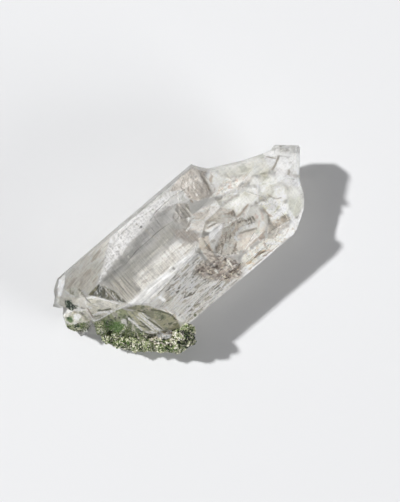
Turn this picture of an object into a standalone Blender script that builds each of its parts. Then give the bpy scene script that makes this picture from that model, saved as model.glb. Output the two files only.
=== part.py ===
"""Chlorite quartz crystal, lying on the flat under its prism.

A clear quartz prism about 74 mm long, with its c axis along +X. Growth facets close it at -X, where
stubby side crystals and a rough green chlorite crust stand round its foot. At +X it ends in a stepped break.
Sizes here are written in millimetres, and at() turns them into Blender's metres. The origin is the middle
of the base of the whole piece's box.
"""

import math
import random

import bmesh
import bpy
from mathutils import Euler, Matrix, Vector

MM = 0.001

# Driving dimensions of the crystal
LEFT_EDGE_Y = 14.2
RIGHT_EDGE_Y = -15.8
LEFT_EDGE_Z = 11.0
RIGHT_EDGE_Z = 13.4
CREST_Z = 24.0
START_X = -33.2
FINISH_X = 44.0
SKY_Z = 45.0

# The crust keeps this much clear of the crystal
CRUST_GAP = 0.34

# A plane cut rounds by no more than this, in metres, and a flat face bends by no more than this, in radians
WELD = 1e-7
FLAT = 1e-4

QUARTZ_COLOUR = (0.86, 0.85, 0.82, 1.0)
CRUST_COLOUR = (0.17, 0.21, 0.12, 1.0)


def at(x, y, z):
    """A point given in millimetres, in metres."""
    return Vector((x, y, z)) * MM


def clear_scene():
    for old in list(bpy.data.objects):
        bpy.data.objects.remove(old, do_unlink=True)


def plain_material(name, colour, roughness, transmission=0.0):
    material = bpy.data.materials.new(name)
    material.use_nodes = True
    shader = material.node_tree.nodes["Principled BSDF"]
    shader.inputs["Base Color"].default_value = colour
    shader.inputs["Roughness"].default_value = roughness
    shader.inputs["Metallic"].default_value = 0.0
    shader.inputs["Transmission Weight"].default_value = transmission
    material.diffuse_color = colour
    return material


def flatten_faces(bm):
    """Splits each warped face into flat ones, so that every cut meets them cleanly."""
    bmesh.ops.connect_verts_nonplanar(bm, angle_limit=FLAT, faces=bm.faces)
    bmesh.ops.recalc_face_normals(bm, faces=bm.faces)


def object_from(bm, name):
    flatten_faces(bm)
    mesh = bpy.data.meshes.new(name)
    bm.to_mesh(mesh)
    bm.free()
    obj = bpy.data.objects.new(name, mesh)
    bpy.context.scene.collection.objects.link(obj)
    return obj


def lofted(name, rings):
    """A closed solid through rings of points in millimetres. A ring of one point is an apex."""
    bm = bmesh.new()
    loops = [[bm.verts.new(at(*point)) for point in ring] for ring in rings]
    for near, far in zip(loops, loops[1:]):
        count = max(len(near), len(far))
        for i in range(count):
            j = (i + 1) % count
            if len(far) == 1:
                bm.faces.new((near[i], near[j], far[0]))
            elif len(near) == 1:
                bm.faces.new((near[0], far[j], far[i]))
            else:
                bm.faces.new((near[i], near[j], far[j], far[i]))
    for end in (loops[0], loops[-1]):
        if len(end) > 1:
            bm.faces.new(end)
    return object_from(bm, name)


def combined(base, others, operation):
    """The base with the others joined to it or cut from it, as one plain mesh."""
    for other in others:
        modifier = base.modifiers.new(other.name, "BOOLEAN")
        modifier.operation = operation
        modifier.solver = "EXACT"
        modifier.object = other
    graph = bpy.context.evaluated_depsgraph_get()
    mesh = bpy.data.meshes.new_from_object(base.evaluated_get(graph))
    base.modifiers.clear()
    base.data = mesh
    for other in others:
        bpy.data.objects.remove(other, do_unlink=True)
    return base


def facet(near, far, z, lean):
    """A plane through the plan line from near to far, at height z, with the solid on the line's right.

    The outward normal leans up by that many degrees, or down if negative.
    """
    along = Vector((far[0] - near[0], far[1] - near[1], 0)).normalized()
    level = math.cos(math.radians(lean))
    normal = Vector((-along.y * level, along.x * level, math.sin(math.radians(lean))))
    return (near[0], near[1], z), normal


def trimmed(obj, facets):
    """Cuts the object back to the inside of each facet, a point and an outward normal, and closes the cut."""
    bm = bmesh.new()
    bm.from_mesh(obj.data)
    for point, normal in facets:
        cut = bmesh.ops.bisect_plane(
            bm,
            geom=bm.verts[:] + bm.edges[:] + bm.faces[:],
            dist=WELD,
            plane_co=at(*point),
            plane_no=Vector(normal).normalized(),
            clear_outer=True,
        )
        rim = [part for part in cut["geom_cut"] if isinstance(part, bmesh.types.BMEdge)]
        bmesh.ops.holes_fill(bm, edges=rim, sides=0)
    flatten_faces(bm)
    bm.to_mesh(obj.data)
    bm.free()
    return obj


# Prism. Its section's corners are (y, z), seen along +X, and the crest leans over towards the break.


def section(crest_y, band_y, band_drop):
    return (
        (13.1, 18.7),
        (LEFT_EDGE_Y, LEFT_EDGE_Z),
        (3.0, 0.0),
        (-5.0, 0.0),
        (-14.0, 2.1),
        (RIGHT_EDGE_Y, RIGHT_EDGE_Z),
        (crest_y, CREST_Z),
        (band_y, CREST_Z - band_drop),
        (4.5, 21.35),
        (9.2, 20.35),
        (11.4, 19.6),
    )


STATIONS = (
    (START_X, section(-5.6, -1.3, 1.35)),
    (-15.0, section(-5.4, -1.6, 1.25)),
    (3.0, section(-3.4, -2.5, 0.45)),
    (FINISH_X, section(-3.4, -2.5, 0.45)),
)

# Growth facets that close the prism at its root
ROOT_TOP_FACETS = (
    ((-8.0, 14.1, 18.2), (-0.21, 0.63, 0.747)),
    ((-25.7, 7.0, 20.2), (-0.706, 0.151, 0.692)),
    ((-28.4, 8.0, 16.6), (-0.86, 0.20, 0.47)),
    ((-19.2, -1.6, 22.7), (-0.666, -0.364, 0.651)),
    ((-19.0, -2.2, 22.2), (-0.72, -0.46, 0.52)),
    ((-19.0, -2.2, 22.3), (-0.61, -0.58, 0.53)),
    ((-12.0, -12.5, 16.7), (-0.36, -0.737, 0.573)),
)
ROOT_SIDE_FACETS = (
    facet((-32.9, 5.0), (-32.8, 10.4), 9.5, 12),
    facet((-32.9, 5.0), (-32.8, 10.4), 8.0, -24),
    facet((-32.8, 10.4), (-28.6, 13.9), 11.0, 20),
    facet((-32.8, 10.4), (-28.6, 13.9), 9.0, -28),
    facet((-15.4, -15.4), (-23.4, -10.2), 6.4, 14),
    facet((-23.4, -10.2), (-27.6, -4.0), 6.0, 10),
    facet((-27.6, -4.0), (-30.4, 3.0), 6.0, 8),
    facet((-15.4, -15.4), (-23.4, -10.2), 4.6, -32),
    facet((-23.4, -10.2), (-27.6, -4.0), 4.2, -30),
    facet((-27.6, -4.0), (-30.4, 3.0), 4.0, -26),
)

# Facets at the far end, at and under its blunt tip
END_FACETS = (
    facet((39.1, 0.4), (39.0, -0.5), 12.5, 6),
    facet((39.1, 0.4), (39.0, -0.5), 10.8, -34),
    ((25.5, -4.0, 0.0), (0.42, -0.06, -0.9)),
)


def prism():
    """The hexagonal prism from its root facets to its far end."""
    rings = [[(x, y, z) for y, z in corners] for x, corners in STATIONS]
    return trimmed(lofted("prism", rings), ROOT_TOP_FACETS + ROOT_SIDE_FACETS + END_FACETS)


def bay(name, outline, shifts):
    """What broke away beside an outline seen from above.

    Each shift is a height and how far the outline moves there.
    """
    rings = []
    for z, shift_x, shift_y in shifts:
        rings.append([(x + shift_x, y + shift_y, z) for x, y in outline])
    return lofted(name, rings)


def side_bays():
    """The far end's two broken sides, undercut below their waist and sloping in above it."""
    left_outline = (
        (15.9, 13.9),
        (16.9, 12.2),
        (18.2, 10.6),
        (23.2, 8.0),
        (26.2, 6.4),
        (31.4, 4.4),
        (33.2, 3.9),
        (34.7, 4.3),
        (39.1, 0.4),
        (48.0, 4.0),
        (44.0, 24.0),
        (16.2, 24.0),
    )
    right_outline = (
        (39.0, -0.5),
        (33.9, -6.3),
        (32.4, -9.8),
        (30.1, -12.7),
        (26.7, -14.6),
        (24.4, -15.9),
        (22.0, -26.0),
        (50.0, -24.0),
        (50.0, 1.0),
    )
    return [
        bay("left_bay", left_outline, ((-4.0, -3.0, -9.0), (11.5, 0.0, 0.0), (30.0, -0.8, -3.2))),
        bay("right_bay", right_outline, ((-4.0, -6.0, 3.6), (11.0, 0.0, 0.0), (30.0, -3.4, 2.2))),
    ]


def chip(name, corners, dip=0.0, flare=1.25):
    """What a break took away above its corners, given as (x, y, z).

    Its walls open upwards, and its floor dips in the middle.
    """
    count = len(corners)
    mid = Vector((0, 0, 0))
    for corner in corners:
        mid += Vector(corner) / count
    rim = [(mid.x + (x - mid.x) * flare, mid.y + (y - mid.y) * flare, SKY_Z) for x, y, z in corners]
    return lofted(name, [rim, corners, [(mid.x, mid.y, mid.z - dip)]])


def break_chips():
    """The steps of the break, from the whole of it to its smaller flakes."""
    return [
        chip(
            "whole_break",
            (
                (15.9, 17.0, 19.2),
                (15.7, 10.8, 19.7),
                (15.1, 8.5, 20.1),
                (14.3, 4.9, 20.2),
                (14.7, 1.1, 20.4),
                (9.0, 0.9, 21.7),
                (4.2, -2.5, 23.4),
                (3.4, -5.2, 22.8),
                (7.0, -9.2, 20.4),
                (12.0, -11.6, 18.3),
                (25.0, -13.8, 16.4),
                (46.0, -12.0, 15.6),
                (46.0, 12.0, 16.4),
            ),
            dip=0.3,
            flare=1.03,
        ),
        chip(
            "left_flake",
            (
                (16.8, 15.0, 18.2),
                (16.4, 9.8, 18.6),
                (16.2, 4.6, 18.7),
                (20.6, 2.2, 17.7),
                (27.4, 3.4, 17.0),
                (29.6, 7.4, 16.4),
                (20.0, 15.0, 17.2),
            ),
            dip=0.5,
        ),
        chip(
            "pale_flake",
            (
                (9.6, 0.5, 20.4),
                (14.6, 0.8, 19.5),
                (21.4, 0.3, 17.4),
                (24.4, -4.6, 16.4),
                (18.3, -4.2, 17.1),
                (12.4, -2.7, 18.9),
            ),
            dip=0.6,
        ),
        chip(
            "front_flake",
            (
                (4.6, -4.0, 20.9),
                (10.6, -3.0, 18.0),
                (16.2, -4.1, 16.6),
                (18.6, -8.2, 15.5),
                (11.6, -10.8, 16.4),
                (7.2, -8.6, 18.4),
            ),
            dip=0.9,
        ),
        chip(
            "front_step",
            (
                (17.6, -4.9, 16.1),
                (20.2, -3.4, 16.6),
                (24.6, -6.9, 15.2),
                (25.2, -12.4, 13.9),
                (19.9, -11.4, 15.0),
                (16.6, -9.4, 15.8),
            ),
            dip=0.8,
        ),
        chip(
            "fan_flake",
            (
                (24.4, -7.0, 15.4),
                (27.2, -2.8, 16.2),
                (31.2, -4.0, 15.2),
                (36.0, -9.0, 12.0),
                (31.0, -16.0, 10.8),
                (25.8, -13.4, 13.2),
            ),
            dip=0.5,
        ),
        chip(
            "corner_flake",
            (
                (26.4, -12.0, 12.9),
                (31.4, -9.2, 12.0),
                (35.0, -13.0, 9.2),
                (28.0, -18.0, 8.8),
                (23.6, -17.0, 11.8),
            ),
            dip=0.7,
        ),
        chip(
            "tip_left_flake",
            (
                (29.8, 2.9, 16.6),
                (32.4, 1.6, 16.2),
                (33.8, 3.4, 15.4),
                (34.0, 8.0, 13.6),
                (29.0, 8.0, 14.6),
            ),
            dip=0.4,
        ),
        chip(
            "tip_right_flake",
            (
                (33.2, -3.1, 15.9),
                (36.6, -0.9, 15.6),
                (41.0, -2.0, 12.4),
                (37.0, -8.0, 11.6),
                (32.6, -6.8, 14.4),
            ),
            dip=0.3,
        ),
    ]


def shell_cutter(name, centre, radii, turn):
    """A large ellipsoid that leaves a smooth shell-shaped hollow where it cuts."""
    bm = bmesh.new()
    bmesh.ops.create_icosphere(bm, subdivisions=3, radius=1.0)
    turned = Euler([math.radians(a) for a in turn]).to_matrix().to_4x4()
    bm.transform(Matrix.Translation(at(*centre)) @ turned @ Matrix.Diagonal((*at(*radii), 1.0)))
    return object_from(bm, name)


def shell_hollows():
    """Broad shell-shaped hollows in the break and along the crest."""
    return [
        shell_cutter("crest_hollow", (6.4, -5.6, 30.2), (5.2, 4.0, 8.6), (14, 20, -14)),
        shell_cutter("front_hollow", (12.6, -9.4, 31.4), (6.2, 4.4, 15.4), (16, 6, -24)),
        shell_cutter("golden_hollow", (19.0, -14.6, 27.4), (8.0, 4.0, 12.4), (20, -4, -20)),
        shell_cutter("fan_hollow", (27.8, -7.6, 28.0), (5.6, 4.8, 13.4), (10, 12, -30)),
        shell_cutter("far_hollow", (28.0, 1.4, 52.0), (10.4, 7.0, 35.7), (-3, 0, 14)),
        shell_cutter("left_hollow", (22.0, 6.6, 52.0), (10.0, 6.0, 34.9), (-4, 2, -24)),
        shell_cutter("pane_hollow", (18.6, -1.0, 36.0), (7.0, 3.6, 18.7), (4, 4, -30)),
        shell_cutter("under_hollow", (33.6, -3.4, -3.4), (9.0, 8.0, 8.4), (0, -30, 0)),
    ]


# Growth ledges. Each is the (x, y) of its middle, its length along the prism, its width, depth and tilt.
RIGHT_LEDGES = (
    (-8.4, -7.9, 10.0, 1.9, 0.34, 9),
    (-5.0, -10.6, 13.0, 1.7, 0.36, -8),
    (-10.6, -12.2, 8.0, 1.9, 0.34, 10),
    (-2.4, -13.4, 11.0, 1.7, 0.36, 8),
    (-0.4, -7.4, 6.0, 1.7, 0.40, -10),
    (5.2, -13.0, 9.0, 1.9, 0.40, 9),
    (12.6, -14.0, 10.0, 1.3, 0.34, 10),
    (-5.6, -14.8, 12.0, 1.0, 0.30, -8),
    (4.0, -9.8, 6.4, 3.0, 0.55, -9),
)
LEFT_LEDGES = (
    (-6.0, 11.2, 17.0, 2.0, 0.22, 7),
    (4.6, 9.8, 12.0, 2.4, 0.26, -6),
    (8.6, 5.6, 9.0, 3.6, 0.32, 6),
    (-4.0, 5.6, 18.0, 2.0, 0.20, -6),
    (8.2, 2.4, 8.0, 2.2, 0.28, 7),
)
SPINDLE = ((-0.5, 0.04), (-0.26, 0.44), (0.18, 0.5), (0.5, 0.16), (0.34, -0.38), (-0.14, -0.5))


def between(value, low, high, low_result, high_result):
    """The result at value, on a straight line from low to high and level outside them."""
    share = min(1.0, max(0.0, (value - low) / (high - low)))
    return low_result + (high_result - low_result) * share


def right_face(x, y):
    """Height and lean of the right upper face at a point of the plan."""
    crest_y = between(x, -15.0, 3.0, -5.4, -3.4)
    slope = (CREST_Z - RIGHT_EDGE_Z) / (crest_y - RIGHT_EDGE_Y)
    return CREST_Z + slope * (y - crest_y), math.atan(slope)


def left_face(x, y):
    """Height and lean of the bright left face at a point of the plan."""
    if y < 4.5:
        return between(y, -1.5, 4.5, 22.7, 21.35), -math.atan(1.35 / 6.0)
    if y < 9.2:
        return between(y, 4.5, 9.2, 21.35, 20.35), -math.atan(1.0 / 4.7)
    return between(y, 9.2, 13.1, 20.35, 18.7), -math.atan(1.65 / 3.9)


def growth_ledges():
    """Thin wedges that leave the steps of growth on the two upper faces."""
    cutters = []
    for face, ledges in ((right_face, RIGHT_LEDGES), (left_face, LEFT_LEDGES)):
        for x, y, length, width, depth, tilt in ledges:
            z, lean = face(x, y)
            rings = []
            for side in (-depth, 3 * depth):
                rings.append([(length * along, width * across, side) for along, across in SPINDLE])
            ledge = lofted("ledge_%s_%s" % (x, y), rings)
            turned = Matrix.Rotation(lean + math.radians(tilt), 4, "X")
            ledge.data.transform(Matrix.Translation(at(x, y, z)) @ turned)
            cutters.append(ledge)
    return cutters


def boulder(name, outline, heights, taper, rough, seed):
    """A faceted lump: its plan outline is its waist, and heights are its foot, waist, shoulder and crown."""
    dice = random.Random(seed)
    foot, waist, shoulder, crown = heights
    mid_x = sum(x for x, y in outline) / len(outline)
    mid_y = sum(y for x, y in outline) / len(outline)
    rings = []
    for z, share in ((foot, taper), (waist, 1.0), (shoulder, taper)):
        ring = []
        for x, y in outline:
            wander = 0.0 if share == 1.0 else rough
            spot_x = mid_x + (x - mid_x) * share + dice.uniform(-wander, wander)
            spot_y = mid_y + (y - mid_y) * share + dice.uniform(-wander, wander)
            ring.append((spot_x, spot_y, z + dice.uniform(-rough, rough)))
        rings.append(ring)
    peak = (mid_x + dice.uniform(-rough, rough), mid_y + dice.uniform(-rough, rough), crown)
    return lofted(name, rings + [[peak]])


def point_crystal(name, root, aim, width, length, tip, turn):
    """A small six-sided crystal that grows from root towards aim, under a pyramid of height tip."""
    rings = []
    for height in (0.0, length - tip):
        ring = []
        for k in range(6):
            angle = math.radians(60 * k + turn)
            ring.append((width / 2 * math.cos(angle), 0.42 * width * math.sin(angle), height))
        rings.append(ring)
    crystal = lofted(name, rings + [[(0.06 * width, 0.04 * width, length)]])
    turned = Vector(aim).normalized().to_track_quat("Z", "Y").to_matrix().to_4x4()
    crystal.data.transform(Matrix.Translation(at(*root)) @ turned)
    return crystal


# Outlines of the lumps of clear quartz that stand at the root's left end
LEFT_LUMP = (
    (-33.0, 7.0),
    (-33.6, 6.3),
    (-34.8, 3.0),
    (-33.9, 1.4),
    (-32.5, 0.4),
    (-30.7, -0.4),
    (-27.4, 0.6),
    (-27.4, 6.2),
)
NOTCH_LUMP = ((-29.4, -1.2), (-29.9, -3.0), (-29.0, -4.6), (-26.0, -4.4), (-25.6, 0.4), (-28.6, 0.2))
ROOT_CRYSTALS = 20
ROOT_SEED = 14


def root_lumps():
    """Side crystals and lumps grown into the root."""
    lumps = [
        boulder("left_lump", LEFT_LUMP, (1.4, 5.6, 9.6, 11.6), 0.82, 0.4, 5),
        boulder("notch_lump", NOTCH_LUMP, (1.8, 5.4, 9.4, 11.4), 0.78, 0.3, 8),
        point_crystal("left_point", (-29.0, 5.4, 7.6), (-0.84, 0.1, 0.52), 4.6, 5.4, 2.0, 15),
        point_crystal("left_spur", (-30.0, 2.6, 7.0), (-0.7, -0.3, 0.64), 3.8, 4.4, 1.5, 40),
        point_crystal("left_foot", (-30.6, 1.8, 5.0), (-0.75, -0.6, 0.2), 3.2, 4.0, 1.4, 10),
        point_crystal("end_spur", (-30.0, 9.0, 7.0), (-0.95, 0.2, 0.05), 3.6, 4.0, 1.6, 28),
    ]
    dice = random.Random(ROOT_SEED)
    for k in range(ROOT_CRYSTALS):
        share = (k + dice.uniform(0.0, 0.8)) / ROOT_CRYSTALS
        x = between(share, 0.0, 1.0, -26.6, -11.0)
        y = between(x, -26.6, -15.0, -4.4, -14.0) + dice.uniform(-0.5, 1.6)
        z = between(x, -20.0, -11.0, 6.4, 11.0) + dice.uniform(-1.2, 0.8)
        aim = (dice.uniform(-0.9, 0.2), dice.uniform(-1.0, -0.3), dice.uniform(0.2, 0.9))
        width = dice.uniform(1.8, 3.6)
        length = width * dice.uniform(1.1, 1.7)
        turn = dice.uniform(0.0, 60.0)
        lumps.append(point_crystal("rim_%d" % k, (x, y, z), aim, width, length, 0.4 * width, turn))
    return lumps


def quartz():
    """The clear crystal: prism, break and side crystals in one solid."""
    body = combined(prism(), side_bays(), "DIFFERENCE")
    body = combined(body, root_lumps(), "UNION")
    body = combined(body, break_chips(), "DIFFERENCE")
    return combined(body, shell_hollows() + growth_ledges(), "DIFFERENCE")


def largest_body(obj):
    """Leaves only the largest closed body of a mesh."""
    bm = bmesh.new()
    bm.from_mesh(obj.data)
    unseen = set(bm.verts)
    bodies = []
    while unseen:
        reached = [unseen.pop()]
        body = list(reached)
        while reached:
            for edge in reached.pop().link_edges:
                for vert in edge.verts:
                    if vert in unseen:
                        unseen.remove(vert)
                        reached.append(vert)
                        body.append(vert)
        bodies.append(body)
    bodies.sort(key=len)
    for body in bodies[:-1]:
        bmesh.ops.delete(bm, geom=body, context="VERTS")
    bm.to_mesh(obj.data)
    bm.free()
    return obj


def swell(obj, gap):
    """Moves the faces of a convex solid out by the gap, in millimetres."""
    bm = bmesh.new()
    bm.from_mesh(obj.data)
    bm.normal_update()
    moves = [vert.normal * gap * MM * min(vert.calc_shell_factor(), 2.0) for vert in bm.verts]
    for vert, move in zip(bm.verts, moves):
        vert.co += move
    flatten_faces(bm)
    bm.to_mesh(obj.data)
    bm.free()
    return obj


# The crust follows the foot of the root from its left notch to its right end.
# Each stop is the (x, y) of its middle, its reach to either side, its foot and its top.
CRUST_STOPS = (
    (-28.0, -2.4, 1.7, 1.2, 6.6),
    (-27.6, -4.8, 2.2, 0.5, 7.2),
    (-26.2, -7.6, 2.4, 0.3, 7.8),
    (-23.9, -10.3, 2.9, 0.3, 8.0),
    (-21.2, -12.2, 2.9, 0.4, 8.4),
    (-18.6, -14.4, 3.0, 0.8, 9.2),
    (-15.8, -16.9, 3.5, 1.6, 10.6),
    (-13.6, -17.4, 3.3, 3.4, 12.4),
    (-11.8, -16.6, 1.9, 6.4, 13.8),
)
# Which way is out at each stop
OUTWARD = (
    (-0.98, -0.20),
    (-0.95, -0.32),
    (-0.80, -0.60),
    (-0.62, -0.78),
    (-0.62, -0.78),
    (-0.68, -0.73),
    (-0.50, -0.87),
    (0.20, -0.98),
    (0.60, -0.80),
)
BANK_LAP = 0.4
CRUST_SEED = 21
GRAINS_PER_STOP = 7


def hull(name, points):
    """The convex solid round some points in millimetres."""
    bm = bmesh.new()
    for point in points:
        bm.verts.new(at(*point))
    result = bmesh.ops.convex_hull(bm, input=bm.verts)
    spare = [part for part in result["geom_interior"] if isinstance(part, bmesh.types.BMVert)]
    bmesh.ops.delete(bm, geom=spare, context="VERTS")
    return object_from(bm, name)


def crust_core():
    """The crust's mass: a row of convex banks, each from one stop to the next."""
    profile = ((1.0, 0.36), (0.66, 0.04), (-0.6, 0.0), (-1.5, 0.4), (-1.2, 0.92), (0.1, 1.0), (0.7, 0.72))
    rings = []
    for (x, y, reach, foot, top), (out_x, out_y) in zip(CRUST_STOPS, OUTWARD):
        ring = []
        for share, rise in profile:
            height = foot + (top - foot) * rise
            ring.append((x + out_x * reach * share, y + out_y * reach * share, height))
        rings.append(ring)
    banks = []
    for i, (near, far) in enumerate(zip(rings, rings[1:])):
        # Each bank runs a little way into its neighbours, so that no two of them only touch
        lap = (Vector(far[0]) - Vector(near[0])).normalized() * BANK_LAP
        spots = [Vector(spot) - lap for spot in near] + [Vector(spot) + lap for spot in far]
        banks.append(hull("bank_%d" % i, spots))
    return combined(banks[0], banks[1:], "UNION")


def crust_lumps():
    """Grains and stubby crystals that give the crust its rough outline."""
    dice = random.Random(CRUST_SEED)
    lumps = []
    for i, (x, y, reach, foot, top) in enumerate(CRUST_STOPS):
        out_x, out_y = OUTWARD[i]
        for k in range(GRAINS_PER_STOP):
            bm = bmesh.new()
            bmesh.ops.create_icosphere(bm, subdivisions=1, radius=1.0)
            for vert in bm.verts:
                vert.co *= dice.uniform(0.8, 1.18)
            turned = Euler([dice.uniform(0, 6.28) for _ in range(3)]).to_matrix().to_4x4()
            size = dice.uniform(0.7, 1.5)
            share = dice.uniform(-0.5, 0.68) * reach
            rise = 1.0 - 0.6 * max(0.0, share / reach) ** 1.5 + dice.uniform(-0.12, 0.02)
            spot = (x + out_x * share, y + out_y * share, foot + (top - foot) * rise)
            bm.transform(Matrix.Translation(at(*spot)) @ turned @ Matrix.Scale(size * MM, 4))
            lumps.append(object_from(bm, "grain_%d_%d" % (i, k)))
    return lumps


def crust():
    """The chlorite crust, cut clear of the prism and the side crystals that it grows on."""
    body = combined(crust_core(), crust_lumps(), "UNION")
    hosts = [swell(host, CRUST_GAP) for host in [prism()] + root_lumps()]
    return largest_body(combined(body, hosts, "DIFFERENCE"))


def settle(pieces):
    """Moves the pieces so that the origin is the middle of the base of their common box."""
    spots = [vert.co for piece in pieces for vert in piece.data.vertices]
    low = [min(spot[k] for spot in spots) for k in range(3)]
    high = [max(spot[k] for spot in spots) for k in range(3)]
    shift = Vector(((low[0] + high[0]) / 2, (low[1] + high[1]) / 2, low[2]))
    for piece in pieces:
        piece.data.transform(Matrix.Translation(-shift))


def finished(obj, name, material):
    obj.name = name
    obj.data.name = name
    obj.data.materials.clear()
    obj.data.materials.append(material)
    return obj


def main():
    clear_scene()
    crystal = largest_body(quartz())
    rim = crust()
    settle([crystal, rim])
    finished(crystal, "quartz_crystal", plain_material("clear_quartz", QUARTZ_COLOUR, 0.06, 0.9))
    finished(rim, "chlorite_crust", plain_material("chlorite", CRUST_COLOUR, 0.85))


main()
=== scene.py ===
"""Looks of the chlorite quartz crystal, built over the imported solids.

Lengths are written in millimetres, and x and y count as in part.py, before its pieces were centred.
"""

import math

import bpy
import numpy as np
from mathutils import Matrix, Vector


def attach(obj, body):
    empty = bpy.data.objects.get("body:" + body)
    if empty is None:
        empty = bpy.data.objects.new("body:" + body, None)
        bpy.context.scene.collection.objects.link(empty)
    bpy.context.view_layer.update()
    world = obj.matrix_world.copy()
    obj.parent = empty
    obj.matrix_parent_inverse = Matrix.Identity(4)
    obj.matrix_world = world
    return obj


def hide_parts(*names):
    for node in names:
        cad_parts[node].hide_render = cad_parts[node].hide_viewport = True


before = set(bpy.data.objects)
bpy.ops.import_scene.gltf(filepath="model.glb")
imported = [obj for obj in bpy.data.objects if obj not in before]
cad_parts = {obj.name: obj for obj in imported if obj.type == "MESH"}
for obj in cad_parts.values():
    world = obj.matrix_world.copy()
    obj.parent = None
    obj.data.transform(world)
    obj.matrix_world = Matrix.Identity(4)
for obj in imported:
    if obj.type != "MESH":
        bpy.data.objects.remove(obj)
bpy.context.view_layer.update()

MM = 0.001
# How far part.py moved its pieces to centre them, in millimetres
CENTRE = (2.22, -3.34, 0.0)
# The crystal lies turned by this much in the photo, seen from straight above
LIE = math.radians(40.5)
SCREEN_GAMMA = 2.2
# Further than anything lies, and less than anything measures
FAR = 1e9
TINY = 1e-12


def spot(x, y, z):
    """A point in millimetres, as a place in the scene."""
    return Vector((x - CENTRE[0], y - CENTRE[1], z)) * MM


def in_metres(places):
    """An array of points in millimetres, as places in the scene."""
    return (places - CENTRE) * MM


def screen(colour):
    """A colour given as it shows on screen, from 0 to 255, in the shader's own scale."""
    return np.array([(value / 255.0) ** SCREEN_GAMMA for value in colour])


def aim_from(azimuth, zenith):
    """Unit vector towards a light, by its direction in the picture and its angle from straight up."""
    heading = math.radians(azimuth) - LIE
    flat = math.sin(math.radians(zenith))
    return Vector((math.cos(heading) * flat, math.sin(heading) * flat, math.cos(math.radians(zenith))))


# Node helpers


def connect(tree, node, inputs):
    """Sets a node's inputs, by name or number, to plain values or to other nodes' outputs."""
    for key, value in inputs.items():
        if isinstance(value, bpy.types.NodeSocket):
            tree.links.new(value, node.inputs[key])
        else:
            node.inputs[key].default_value = value


def added(tree, kind, inputs, output=0):
    """One output of a new node, with its inputs set."""
    node = tree.nodes.new("ShaderNode" + kind)
    connect(tree, node, inputs)
    return node.outputs[output]


def attribute(tree, name, output="Fac"):
    """A number or a colour that is written to the mesh."""
    value = added(tree, "Attribute", {}, output)
    value.node.attribute_name = name
    return value


def reckoned(tree, operation, first, second):
    """A sum, a difference or a product of two numbers."""
    value = added(tree, "Math", {0: first, 1: second})
    value.node.operation = operation
    return value


def in_range(tree, value, low, high, least, most):
    """A value between low and high, spread to lie between least and most."""
    return added(tree, "MapRange", {
        "Value": value, "From Min": low, "From Max": high, "To Min": least, "To Max": most,
    })


def new_material(name):
    """A material with its tree and its shader."""
    material = bpy.data.materials.new(name)
    material.use_nodes = True
    return material, material.node_tree, material.node_tree.nodes["Principled BSDF"]


# Camera, straight above, at the height where a photo pixel is a quarter of a millimetre

LENS = 200.0
FRAME_TALL = 125.5
FOCUS_Z = 12.0
FILM = 36.0
PICTURE_X = 3.315
PICTURE_Y = -3.817
CLIP_START = 0.05
CLIP_END = 5.0


def camera():
    lens = bpy.data.cameras.new("camera")
    lens.lens = LENS
    lens.sensor_width = FILM
    lens.clip_start = CLIP_START
    lens.clip_end = CLIP_END
    eye = bpy.data.objects.new("camera", lens)
    eye.location = spot(PICTURE_X, PICTURE_Y, FOCUS_Z + FRAME_TALL * LENS / FILM)
    eye.rotation_euler = (0.0, 0.0, -LIE)
    bpy.context.scene.collection.objects.link(eye)
    bpy.context.scene.camera = eye


# Light: one key from the picture's upper left, a soft fill across from it and a room that darkens low down

KEY_AZIMUTH = 155.3
KEY_ZENITH = 42.0
KEY_REACH = 3.0
KEY_SIZE = 0.20
KEY_POWER = 90.0
FILL_ZENITH = 76.0
FILL_REACH = 1.6
FILL_SIZE = 0.9
FILL_POWER = 16.0
ROOM_STRENGTH = 0.22
ROOM_LOW = (0.10, 0.10, 0.11, 1)
ROOM_HIGH = (1.0, 1.0, 1.02, 1)
ROOM_HIGH_AT = 0.75


def lamp(name, azimuth, zenith, reach, size, power):
    """A round lamp that looks at the crystal from that direction."""
    light = bpy.data.lights.new(name, "AREA")
    light.shape = "DISK"
    light.size = size
    light.energy = power
    holder = bpy.data.objects.new(name, light)
    toward = aim_from(azimuth, zenith)
    holder.location = toward * reach
    holder.rotation_euler = toward.to_track_quat("Z", "Y").to_euler()
    bpy.context.scene.collection.objects.link(holder)


def lights():
    lamp("key", KEY_AZIMUTH, KEY_ZENITH, KEY_REACH, KEY_SIZE, KEY_POWER)
    lamp("fill", KEY_AZIMUTH + 180.0, FILL_ZENITH, FILL_REACH, FILL_SIZE, FILL_POWER)

    world = bpy.data.worlds.new("room")
    world.use_nodes = True
    tree = world.node_tree
    height = added(tree, "SeparateXYZ", {0: added(tree, "TexCoord", {}, "Generated")}, "Z")
    shade = added(tree, "ValToRGB", {0: height})
    low, high = shade.node.color_ramp.elements
    low.position = 0.0
    low.color = ROOM_LOW
    high.position = ROOM_HIGH_AT
    high.color = ROOM_HIGH
    connect(tree, tree.nodes["Background"], {"Color": shade, "Strength": ROOM_STRENGTH})
    bpy.context.scene.world = world


FLOOR_SIZE = 8.0
# A little under the crystal, so that its flat underside and the floor don't share a plane
FLOOR_Z = -0.0002
CARD_COLOUR = (0.80, 0.805, 0.815, 1)
CARD_ROUGHNESS = 0.9


def floor():
    bpy.ops.object.select_all(action="DESELECT")
    bpy.ops.mesh.primitive_plane_add(size=FLOOR_SIZE, location=(0, 0, FLOOR_Z))
    plane = bpy.context.object
    plane.name = "floor"
    card, tree, shader = new_material("pale_card")
    connect(tree, shader, {"Base Color": CARD_COLOUR, "Roughness": CARD_ROUGHNESS})
    plane.data.materials.append(card)


# Soft borders


def ramp(values, start, width):
    """0 up to the start, 1 from the start plus the width on, and even in between."""
    return np.clip((values - start) / width, 0.0, 1.0)


def border(inside, width):
    """0 well outside a border of that width, 1 well inside it, and a half on its middle."""
    return np.clip(inside / width + 0.5, 0.0, 1.0)


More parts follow.
